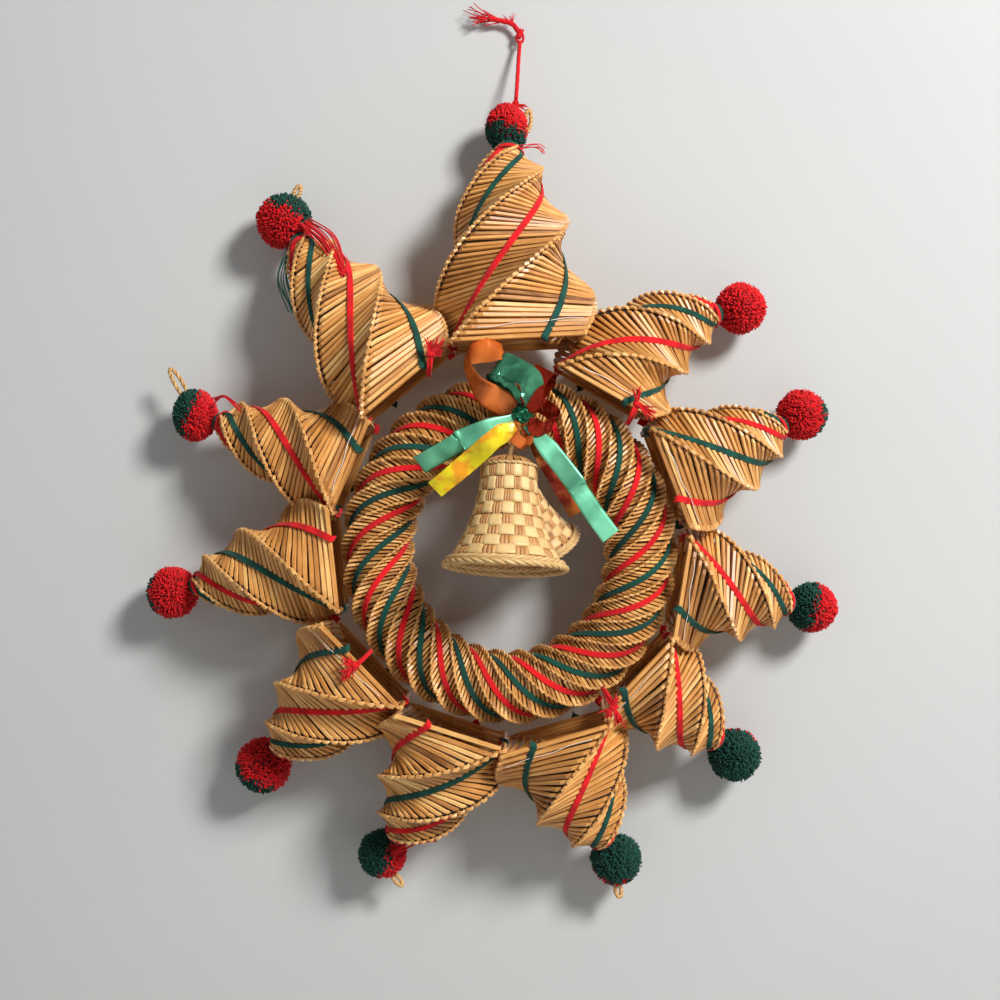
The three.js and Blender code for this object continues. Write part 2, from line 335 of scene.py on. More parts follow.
class Wire:
    """A socket of a node tree; arithmetic on it adds Math nodes."""

    def __init__(self, tree: "Tree", socket: bpy.types.NodeSocket) -> None:
        """Keeps the tree and the socket."""
        self.tree = tree
        self.socket = socket

    def _math(self, operation: str, first: "Wire | float", second: "Wire | float") -> "Wire":
        """A Math node on two values."""
        return self.tree.add("ShaderNodeMath", {"operation": operation}, {0: first, 1: second})

    def __add__(self, other: "Wire | float") -> "Wire":
        """This and another."""
        return self._math("ADD", self, other)

    def __mul__(self, other: "Wire | float") -> "Wire":
        """This times another."""
        return self._math("MULTIPLY", self, other)

    def __sub__(self, other: "Wire | float") -> "Wire":
        """This less another."""
        return self._math("SUBTRACT", self, other)

    def __rsub__(self, other: float) -> "Wire":
        """A number less this."""
        return self._math("SUBTRACT", other, self)

    __radd__ = __add__
    __rmul__ = __mul__


class Tree:
    """A new material and the nodes in it."""

    def __init__(self, name: str) -> None:
        """Makes an empty material.

        Args:
            name: the material's name.
        """
        self.material = bpy.data.materials.new(name)
        self.material.use_nodes = True
        self.material.node_tree.nodes.clear()

    def add(self, kind: str, settings: dict | None = None, sockets: dict | None = None,
            out: int | str = 0) -> Wire:
        """Adds a node of any kind.

        Args:
            kind: the node's type.
            settings: its own values, set first; stops are a ramp's (place, colour) pairs.
            sockets: a value or a Wire for each input, by name or number.
            out: which output to return.

        Returns:
            The chosen output.
        """
        node = self.material.node_tree.nodes.new(kind)
        for name, value in (settings or {}).items():
            if name == "stops":
                self._set_stops(node.color_ramp, value)
            else:
                setattr(node, name, value)
        for name, value in (sockets or {}).items():
            if isinstance(value, Wire):
                self.material.node_tree.links.new(value.socket, node.inputs[name])
            else:
                node.inputs[name].default_value = value
        return Wire(self, node.outputs[out]) if node.outputs else Wire(self, None)

    @staticmethod
    def _set_stops(ramp: bpy.types.ColorRamp, stops: list[tuple]) -> None:
        """Gives a colour ramp its stops.

        Args:
            ramp: the ramp, which has two stops when new.
            stops: (place, colour) pairs in order.
        """
        while len(ramp.elements) < len(stops):
            ramp.elements.new(1)
        for element, (place, colour) in zip(ramp.elements, stops):
            element.position = place
            element.color = colour

    def mix(self, share: Wire | float, first: Wire | tuple, second: Wire | tuple) -> Wire:
        """A colour between two others."""
        return self.add("ShaderNodeMix", {"data_type": "RGBA"}, {0: share, 6: first, 7: second}, 2)

    def value(self, name: str) -> Wire:
        """One of the piece's own values, tone or fold."""
        return self.add("ShaderNodeAttribute", {"attribute_name": name}, out="Fac")

    def grain(self, stretch: tuple[float, float, float], scale: float, detail: float = 3) -> Wire:
        """Noise on the piece's UV map, stretched so that it runs along a straw or strand.

        Args:
            stretch: its scale along and round the strand; the map is flat, so the third has no part.
            scale: the noise's scale.
            detail: how many finer layers it has.

        Returns:
            The noise, about 0.5 in the middle.
        """
        place = self.add("ShaderNodeUVMap", {"uv_map": "run"})
        place = self.add("ShaderNodeMapping", {}, {"Vector": place, "Scale": stretch})
        shift = self.add("ShaderNodeCombineXYZ", {}, {"Z": self.value("tone") * TONE_SHIFT})
        place = self.add("ShaderNodeVectorMath", {"operation": "ADD"}, {0: place, 1: shift})
        return self._noise_at(place, scale, detail)

    def noise(self, scale: float, detail: float = 3) -> Wire:
        """Noise on the piece's own coordinates."""
        return self._noise_at(self.add("ShaderNodeTexCoord", out="Object"), scale, detail)

    def _noise_at(self, place: Wire, scale: float, detail: float) -> Wire:
        """Noise read at a place."""
        sockets = {"Vector": place, "Scale": scale, "Detail": detail}
        return self.add("ShaderNodeTexNoise", {}, sockets)

    def bump(self, height: Wire, strength: float, distance: float) -> Wire:
        """A normal that follows a height.

        Args:
            height: the height.
            strength: how much of it is shown, from 0 to 1.
            distance: a height of 1 in metres.

        Returns:
            The normal.
        """
        return self.add(
            "ShaderNodeBump", {}, {"Height": height, "Strength": strength, "Distance": distance},
        )

    def close(self, **sockets: Wire | float | tuple) -> bpy.types.Material:
        """Ends the tree in a Principled shader.

        Args:
            sockets: its inputs, with underscores for the spaces in their names.

        Returns:
            The finished material.
        """
        named = {name.replace("_", " "): value for name, value in sockets.items()}
        shader = self.add("ShaderNodeBsdfPrincipled", {}, named)
        self.add("ShaderNodeOutputMaterial", {}, {"Surface": shader})
        return self.material


def linear(code: int) -> tuple[float, float, float, float]:
    """A screen colour such as 0xd9a557 as the linear values that a shader takes.

    Args:
        code: the colour, two hexadecimal digits a channel.

    Returns:
        Red, green, blue and an alpha of 1.
    """
    parts = np.array([code >> 16 & 255, code >> 8 & 255, code & 255]) / 255
    low = parts / 12.92
    high = ((parts + 0.055) / 1.055) ** 2.4
    return (*np.where(parts <= 0.04045, low, high).tolist(), 1.0)


# ---- finishes -------------------------------------------------------------------------


@dataclass(frozen=True)
class StrawFinish:
    """Ripe straw: golden, lengthwise streaks, satin, with a painted highlight where it is folded."""

    name: str = "ripe_straw"
    slot: str = "straw"
    dark: int = 0x6E3C14
    mid: int = 0xCC8D46
    pale: int = 0xF5CC84
    # the paler colour of the painted highlight on folds
    fold_highlight: int = 0xDEAE6C
    gloss: float = 0.33

    def material(self) -> bpy.types.Material:
        """Colour from each straw's tone and its streaks, mixed towards a paler painted highlight at
        folds; the bump is the streaks.

        Returns:
            The material.
        """
        tree = Tree(self.name)
        streaks = tree.grain((60, 5, 1), 1.6)
        patches = tree.noise(55, 2)
        shade = tree.value("tone") * 0.62 + streaks * 0.42 + patches * 0.3 - 0.2
        stops = [(0.05, linear(self.dark)), (0.5, linear(self.mid)), (0.95, linear(self.pale))]
        colour = tree.add("ShaderNodeValToRGB", {"stops": stops}, {"Fac": shade})
        # painted highlight: folded places are mixed towards a paler colour
        colour = tree.mix(tree.value("fold") * 0.35, colour, linear(self.fold_highlight))
        return tree.close(
            Base_Color=colour, Roughness=streaks * 0.22 + self.gloss,
            Normal=tree.bump(streaks, 0.35, 0.0004), Coat_Weight=0.18, Coat_Roughness=0.28,
        )


@dataclass(frozen=True)
class UnderstrawFinish:
    """The plait's inner layers, painted dark brown as the shade between and under the outer straws.
    """

    name: str = "inner_straw_painted_shade"
    slot: str = "straw"
    # both colours are painted shade, far darker than the straw itself
    dark: int = 0x1E0F06
    pale: int = 0x4E2C14

    def material(self) -> bpy.types.Material:
        """Painted shade: near-black brown, mottled by noise, dull.

        Returns:
            The material.
        """
        tree = Tree(self.name)
        mottle = tree.noise(220, 4)
        colour = tree.mix(mottle, linear(self.dark), linear(self.pale))
        return tree.close(Base_Color=colour, Roughness=0.85, Normal=tree.bump(mottle, 0.5, 0.0006))


@dataclass(frozen=True)
class YarnFinish:
    """Soft yarn: matt, fuzzy, with a fine twist."""

    name: str
    slot: str
    deep: int
    light: int

    def material(self) -> bpy.types.Material:
        """Colour from each strand's tone and fine fibres; the bump is the fibres.

        Returns:
            The material.
        """
        tree = Tree(self.name)
        fibres = tree.grain((900, 9, 1), 1.0, 2)
        shade = tree.value("tone") * 0.7 + fibres * 0.5 - 0.1
        colour = tree.mix(shade, linear(self.deep), linear(self.light))
        return tree.close(
            Base_Color=colour, Roughness=0.95, Sheen_Weight=0.05, Sheen_Roughness=0.5,
            Normal=tree.bump(fibres, 0.6, 0.0003),
        )


@dataclass(frozen=True)
class LeafFinish:
    """Split leaf straps: dry, fine parallel veins, a soft shine."""

    name: str
    dark: int
    pale: int
    slot: str = "palm"

    def material(self) -> bpy.types.Material:
        """Colour from each strap's tone and its veins; the bump is the veins.

        Returns:
            The material.
        """
        tree = Tree(self.name)
        veins = tree.grain((50, 9, 1), 2.2)
        stain = tree.noise(90, 3)
        shade = tree.value("tone") * 0.5 + veins * 0.5 + stain * 0.35 - 0.25
        colour = tree.mix(shade, linear(self.dark), linear(self.pale))
        return tree.close(
            Base_Color=colour, Roughness=veins * 0.2 + 0.38, Normal=tree.bump(veins, 0.45, 0.0004),
        )


class Sheen(Enum):
    """How a foil's painted reflections lie: a noise's scale, and between which values its colours
    change.
    """

    PLAIN = (18, 0.25, 0.8)
    RAINBOW = (70, 0.44, 0.56)

    def __init__(self, scale: float, low: float, high: float) -> None:
        """Keeps the three values; close ones for low and high part the colours sharply."""
        self.scale, self.low, self.high = scale, low, high


@dataclass(frozen=True)
class FoilFinish:
    """Metallised ribbon: a coloured mirror with flat creases and fine wrinkles, and painted
    reflection and shade.
    """

    name: str
    slot: str
    colour: int
    second: int
    sheen: Sheen = Sheen.PLAIN
    gloss: float = 0.2
    metal: float = 0.55

    def material(self) -> bpy.types.Material:
        """Painted reflection from a broad noise, painted shade from a facet noise; the bump is
        wrinkles and the facet noise.

        Returns:
            The material.
        """
        tree = Tree(self.name)
        # painted reflection: the broad noise lays the two colours in patches
        broad = tree.noise(self.sheen.scale, 3)
        stops = [(self.sheen.low, linear(self.colour)), (self.sheen.high, linear(self.second))]
        colour = tree.add("ShaderNodeValToRGB", {"stops": stops}, {"Fac": broad})
        facet_bump_and_shade = tree.grain((150, 2.5, 1), 0.4, 1)
        # painted shade: where the facet noise is low the colour darkens towards 0.3 of itself
        dark = tuple(0.3 * part for part in linear(self.colour)[:3]) + (1.0,)
        colour = tree.mix((0.62 - facet_bump_and_shade) * 2.2, colour, dark)
        wrinkle = tree.noise(160, 4)
        return tree.close(
            Base_Color=colour, Metallic=self.metal, Roughness=wrinkle * 0.14 + self.gloss,
            Normal=tree.bump(wrinkle * 0.35 + facet_bump_and_shade * 2, 0.4, 0.0012),
        )


STRAW = StrawFinish()
INNER_SHADE = UnderstrawFinish()
# the fourth colour is the painted highlight on the loops' folds
LOOP_STRAW = StrawFinish("loop_straw", "straw", 0x9A6A34, 0xC99B5C, 0xF0D49C, 0xEBCB92, 0.4)
RED = YarnFinish("red_yarn", "yarn_red", 0x8E0006, 0xF20412)
GREEN = YarnFinish("green_yarn", "yarn_green", 0x001C17, 0x005040)
LOOSE_GREEN = YarnFinish("loose_green_yarn", "yarn_green", 0x0A4A44, 0x3C8C80)
# pompom cores: the same yarn, painted darker as the shade between the strands
RED_CORE_SHADE = YarnFinish("red_core_painted_shade", "yarn_red", 0x4A0206, 0x8A0410)
GREEN_CORE_SHADE = YarnFinish("green_core_painted_shade", "yarn_green", 0x00140F, 0x003428)
# the clear thread, painted pale and opaque as its glint
NYLON_GLINT = LeafFinish("clear_thread_painted_glint", 0xC8BBA8, 0xFFFAF0, "straw")
PALE_LEAF = LeafFinish("pale_leaf", 0xBC8E4E, 0xECD095)
BROWN_LEAF = LeafFinish("brown_leaf", 0x9C642C, 0xD8A468)
RIM_LEAF = LeafFinish("rim_leaf", 0xAE8042, 0xE9CC92)
# each foil's second colour is laid on in patches as painted reflection
GREEN_FOIL = FoilFinish("green_foil", "foil_green", 0x54B88C, 0xA4F2C8, gloss=0.32)
LOOP_GREEN_FOIL = FoilFinish(
    "loop_green_foil", "foil_green", 0x146842, 0x78D4A6, gloss=0.14, metal=0.8,
)
DEEP_GREEN_FOIL = FoilFinish("deep_green_foil", "foil_green", 0x0E5A3C, 0x2E8C64, gloss=0.14)
ORANGE_FOIL = FoilFinish("orange_foil", "foil_orange", 0xF2641C, 0xFF9A48, metal=0.4)
RED_FOIL = FoilFinish("red_foil", "foil_red", 0x98100C, 0xE04A24, gloss=0.14, metal=0.75)
GOLD_FOIL = FoilFinish("gold_foil", "foil_gold", 0xFFE818, 0xFFA61E, Sheen.RAINBOW, 0.24, 0.3)
EMBER_FOIL = FoilFinish("ember_foil", "foil_orange", 0x9C2C14, 0xE07C34, Sheen.RAINBOW, 0.24)


Finish = StrawFinish | UnderstrawFinish | YarnFinish | LeafFinish | FoilFinish


def placed(name: str, data: bpy.types.ID) -> bpy.types.Object:
    """A new object in the scene.

    Args:
        name: the object's name.
        data: its mesh, camera or light.

    Returns:
        The object.
    """
    made = bpy.data.objects.new(name, data)
    bpy.context.scene.collection.objects.link(made)
    return made


class Workshop:
    """Makes pieces from shells, and keeps one material for each finish."""

    def __init__(self) -> None:
        """Starts with no materials."""
        self._materials: dict[str, bpy.types.Material] = {}

    def material(self, finish: Finish) -> bpy.types.Material:
        """The material of a finish, made the first time it is asked for.

        Args:
            finish: the finish.

        Returns:
            Its material.
        """
        if finish.name not in self._materials:
            self._materials[finish.name] = finish.material()
        return self._materials[finish.name]

    def piece(self, name: str, shell: Shell, finish: Finish, nodes: tuple[str, ...] = (),
              smooth: bool = True) -> bpy.types.Object:
        """Makes a piece, dresses it and rides it on the ornament.

        Args:
            name: the piece's name.
            shell: its faces.
            finish: what it is made of.
            nodes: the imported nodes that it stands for.
            smooth: whether light flows over its edges.

        Returns:
            The piece.
        """
        mesh = bpy.data.meshes.new(name)
        sizes = np.where(shell.faces[:, 3] < 0, 3, 4)
        corners = shell.faces[shell.faces >= 0]
        mesh.vertices.add(len(shell.points))
        mesh.vertices.foreach_set("co", shell.points.astype(np.float32).ravel())
        mesh.loops.add(len(corners))
        mesh.loops.foreach_set("vertex_index", corners.astype(np.int32))
        mesh.polygons.add(len(sizes))
        mesh.polygons.foreach_set("loop_start", (np.cumsum(sizes) - sizes).astype(np.int32))
        mesh.polygons.foreach_set("use_smooth", np.full(len(sizes), smooth))
        mesh.update(calc_edges=True)
        mesh.uv_layers.new(name="run").data.foreach_set("uv", shell.uv[corners].ravel())
        for label, values in (("tone", shell.tone), ("fold", shell.fold)):
            mesh.attributes.new(label, "FLOAT", "POINT").data.foreach_set("value", values)
        mesh.materials.append(self.material(finish))
        made = placed(name, mesh)
        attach(made, "root")
        if nodes:
            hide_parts(*nodes)
        log.info("%s: %d faces", name, len(sizes))
        return made


def node_centre(name: str) -> Array:
    """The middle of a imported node's box."""
    low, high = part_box(name)
    return (np.array(low) + np.array(high)) / 2


# ---- plaits ---------------------------------------------------------------------------


@dataclass(frozen=True)
class Station:
    """One place on a straw as it crosses a face and folds round the corner.

    Lengths are in straw thicknesses: from the face's first or second corner along the
    face, out of it, then along and out of the next face; climb is in courses.
    """

    second: bool
    along: float
    out: float
    next_along: float = 0.0
    next_out: float = 0.0
    climb: float = 0.0
    wide: float = 1.0
    high: float = 1.0
    fold: float = 0.0


# fold is how strongly the straw finish paints its highlight at a station
STATIONS = (
    Station(False, 0.5, -0.95, wide=0.8, high=0.8),
    Station(False, 2.1, 0.0),
    Station(True, -2.3, 0.0),
    Station(True, -0.8, 0.05, wide=1.0, fold=0.2),
    Station(True, -0.2, 0.34, 0.0, 0.0, 0.1, 0.92, 0.72, 0.8),
    Station(True, 0.0, 0.0, 0.3, 0.3, 0.38, 0.88, 0.68, 1.0),
    Station(True, 0.0, 0.0, 0.9, 0.0, 0.56, 0.75, 0.7, 0.5),
    Station(True, 0.0, 0.0, 1.4, -0.8, 0.7, 0.65, 0.7, 0.2),
)


@dataclass
class Sections:
    """Where a plait's outline stands at places along it; every field has one entry a place."""

    centre: Array
    across: Array
    ahead: Array
    along: Array
    radius: Array
    turn: Array

    def point(self, angle: Array, grow: Array | float = 0.0) -> Array:
        """centre + (radius + grow) * (cos * across + sin * ahead).

        Args:
            angle: how far past the turn.
            grow: how far outside the outline.

        Returns:
            The points, with the three parts along the last axis.
        """
        whole = (self.turn + angle)[..., None]
        reach = (self.radius + grow)[..., None]
        return self.centre + reach * (np.cos(whole) * self.across + np.sin(whole) * self.ahead)


class Plait:
    """A spiral plait of straw; a horn or the ring says where its sections stand.

    corners is the number of ridges, courses how often the straws go round and straw one's
    thickness. crowding is a straw's half width as a share of a course, hollow how far a
    face sinks between its ridges, in straws, and nub multiplies how far the folds stand out.
    opening is how far up the plait its lining starts. widest is the most that a straw's
    half width may be, in thicknesses, and straws_per_face the fewest thicknesses that a
    face holds. A straw strays by sway_along and sway_out thicknesses, and its shade by
    tone_spread round tone_middle. The yarn on a face is yarn_height thick either way, and
    its middle stands yarn_lift out, less or more by yarn_wave.
    """

    corners: int
    courses: int
    straw: float
    crowding: float = 0.52
    hollow: float = 0.0
    opening: float = 0.28
    nub: float = 1.0
    widest: float = 0.76
    straws_per_face: float = 6
    sway_along: float = 0.1
    sway_out: float = 0.06
    tone_middle: float = 0.54
    tone_spread: float = 0.21
    yarn_height: float = 0.55 * MM
    yarn_lift: float = 0.75 * MM
    yarn_wave: float = 0.2 * MM

    def sections(self, way: Array) -> Sections:
        """The sections at shares of the way along."""
        raise NotImplementedError

    def pitch(self, way: Array, points: Array) -> Array:
        """The distance from one course to the next at points of the sections at way."""
        raise NotImplementedError

    def course_way(self, share: Array) -> Array:
        """The way along at a share of the courses; the same when they are evenly spaced."""
        return share

    def thickness(self, way: Array) -> Array:
        """A straw's thickness at a place along the plait."""
        return np.full(np.shape(way), self.straw)

    def _lift(self, station: Station) -> float:
        """How far out a station stands: nub enlarges the fold, hollow sinks the face."""
        flat = station.fold == 0 and abs(station.along) > 2
        return station.out * (self.nub if station.fold > 0 else 1.0) - self.hollow * flat

    def straws(self, rng: np.random.Generator) -> Shell:
        """Every straw: it crosses one face in its section's plane and folds round the corner.

        A point is a corner of the section, moved along the face by the station's share of
        the thickness, out of it, then on round the corner, and up by its share of a course.

        Args:
            rng: the seeded draws, for how the straws stray and for their tones.

        Returns:
            The straws' skins.
        """
        k = np.arange(self.corners)[None]
        course = np.arange(self.courses)[:, None]
        way = self.course_way((course + (k + 0.5) / self.corners) / self.courses).ravel()
        angle = np.broadcast_to(TAU * k / self.corners, (self.courses, self.corners)).ravel()
        at = self.sections(way)
        step = TAU / self.corners
        thick = self.thickness(way)
        first, second, third = (at.point(angle + n * step, -thick / 2) for n in range(3))
        face, next_face = unit(second - first), unit(third - second)
        out = unit((first + second) / 2 - at.centre)
        next_out = unit((second + third) / 2 - at.centre)
        rise = self.pitch(way, second)[:, None] * at.along
        face_width = np.linalg.norm(second - first, axis=-1)
        size = np.minimum(thick, face_width / self.straws_per_face)[:, None]
        path = np.stack(
            [
                (second if s.second else first)
                + size * (s.along * face + self._lift(s) * out)
                + size * (s.next_along * next_face + s.next_out * self.nub * next_out)
                + s.climb * rise
                for s in STATIONS
            ],
            axis=1,
        )
        wide, high, fold = (
            np.array([getattr(s, name) for s in STATIONS]) for name in ("wide", "high", "fold")
        )
        thick = thick[:, None]
        pitch = self.pitch(way[:, None], path)
        width = np.minimum(pitch * self.crowding, thick * self.widest) * wide
        side = np.broadcast_to(at.along[:, None], path.shape)
        run = unit(np.gradient(path, axis=1))
        up = unit(np.cross(run, side))
        up *= np.sign(np.sum(up * out[:, None], axis=-1, keepdims=True) + 1e-6)[:, :1]
        each = (len(way), 1)
        sway = thick * (rng.normal(0, self.sway_along, each) * at.along
                        + rng.normal(0, self.sway_out, each) * out)
        path = path + sway[:, None]
        tone = np.clip(rng.normal(self.tone_middle, self.tone_spread, each), 0, 1)
        return sweep(path, side, up, round_outline(5), width, thick * 0.5 * high, tone, fold)

    def lining(self, rows: int, inset: float, closed: bool) -> Shell:
        """The inner layers: the plait's outline drawn in by inset, as one skin.

        Args:
            rows: how many sections.
            inset: how far inside the outline it lies.
            closed: whether the plait ends where it starts.

        Returns:
            The skin.
        """
        way = np.arange(rows) / rows if closed else np.linspace(self.opening, 0.996, rows)
        at = self.sections(way)
        cos, sin = np.cos(at.turn)[:, None], np.sin(at.turn)[:, None]
        side = cos * at.across + sin * at.ahead
        up = cos * at.ahead - sin * at.across
        angle = TAU * np.arange(self.corners) / self.corners
        outline = np.stack([np.cos(angle), np.sin(angle)], -1)
        reach = at.radius - inset
        return sweep(at.centre[None], side[None], up[None], outline, reach, reach, closed=closed)

    def yarn_share(self, way: Array) -> Array:
        """How far across its face, from one ridge to the next, the yarn lies."""
        return np.full(np.shape(way), 0.5)

    def strand(self, face: int, steps: int, width: float, closed: bool) -> Shell:
        """A flat strand of yarn laid along one face, over the straws.

        A point is first ridge + share * (second ridge - first ridge) + lift outwards; the
        lift dips a little between the straws and follows a hollow face. At an open base it
        turns in over the edge.

        Args:
            face: which face.
            steps: how many places along it.
            width: its width at the thick end.
            closed: whether the plait ends where it starts.

        Returns:
            The strand's skin.
        """
        way = np.arange(steps) / steps if closed else np.linspace(0, 0.998, steps)
        at = self.sections(way)
        angle = np.full(steps, TAU * face / self.corners)
        first, second = at.point(angle), at.point(angle + TAU / self.corners)
        out = unit((first + second) / 2 - at.centre)
        wave = np.cos(TAU * way * self.courses) * (1.0 if closed else 0.4)
        lift = self.yarn_lift + self.yarn_wave * wave - self.hollow * self.straw
        path = first + self.yarn_share(way)[:, None] * (second - first) + lift[:, None] * out
        along = unit(np.gradient(path, axis=0))
        if closed:
            along = unit(np.roll(path, -1, axis=0) - np.roll(path, 1, axis=0))
        side = unit(np.cross(out, along))
        up = np.cross(along, side)
        reach = width / 2 * (self.thickness(way) / self.straw) * (1 + 0.06 * wave)
        tone = 0.5 + 0.25 * np.sin(way * 60 + face)
        if not closed:
            turned = np.array([[1.9, 6.0], [1.9, 1.2]]) * MM
            inward = path[0] - turned[:, :1] * at.along[0] - turned[:, 1:] * out[0]
            path = np.vstack([inward, path])
            side, up = (np.vstack([v[:1], v[:1], v]) for v in (side, up))
            up[:2] = np.stack([-at.along[0], unit(up[2] - at.along[0])])
            reach, tone = (np.concatenate([v[:1], v[:1], v]) for v in (reach, tone))
        return sweep(path[None], side[None], up[None], lobed_outline(4), reach, self.yarn_height,
                     tone, closed=closed)


@dataclass
class RingPlait(Plait):
    """The six-ridged hoop. Its sections stand on an ellipse and turn as they go round.

    turns is how often they turn, across and up are the ellipse's half axes and radius is
    from its line to a ridge.
    """

    corners: int = 6
    courses: int = 240
    crowding: float = 0.44
    straw: float = 2.1 * MM
    hollow: float = 0.9
    nub: float = 1.5
    turns: int = 5
    across: float = 88.5 * MM
    up: float = 92.5 * MM
    radius: float = 25 * MM
    lining_rows: int = 480
    lining_inset: float = 4.4 * MM
    yarn_steps: int = 720
    yarn_width: float = 3.8 * MM

    def __post_init__(self) -> None:
        """Takes the ring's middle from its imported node."""
        self.centre = node_centre("ring")

    def sections(self, way: Array) -> Sections:
        """Round an ellipse from +X towards +Z; the turn is turns times the angle.

        Args:
            way: shares of the way round.

        Returns:
            The sections there.
        """
        degrees = 360 * way
        out = heading(degrees)
        centre = self.centre + out * np.array([self.across, 0, self.up])
        back = np.broadcast_to(-FRONT, out.shape)
        radius = np.full(np.shape(way), self.radius)
        return Sections(centre, out, back, heading(degrees + 90), radius,
                        np.radians(degrees) * self.turns)

    def pitch(self, way: Array, points: Array) -> Array:
        """The circle through the point round the hoop's middle, shared among the courses."""
        flat = (points - self.centre) * np.array([1, 0, 1])
        return TAU * np.linalg.norm(flat, axis=-1) / self.courses

    def build(self, shop: Workshop, rng: np.random.Generator) -> None:
        """Straws, lining and six strands that run on round the hoop.

        Args:
            shop: the workshop that makes the pieces.
            rng: the seeded draws.
        """
        shop.piece("ring_plait", self.straws(rng), STRAW, ("ring",), smooth=False)
        lining = self.lining(self.lining_rows, self.lining_inset, True)
        # the lining is painted as the shade inside the plait
        shop.piece("ring_lining", lining, INNER_SHADE)
        for finish, faces in ((RED, (0, 2, 4)), (GREEN, (1, 3, 5))):
            strands = [
                self.strand(face, self.yarn_steps, self.yarn_width, True) for face in faces
            ]
            shop.piece(f"ring_{finish.name}", Shell.joined(strands), finish)


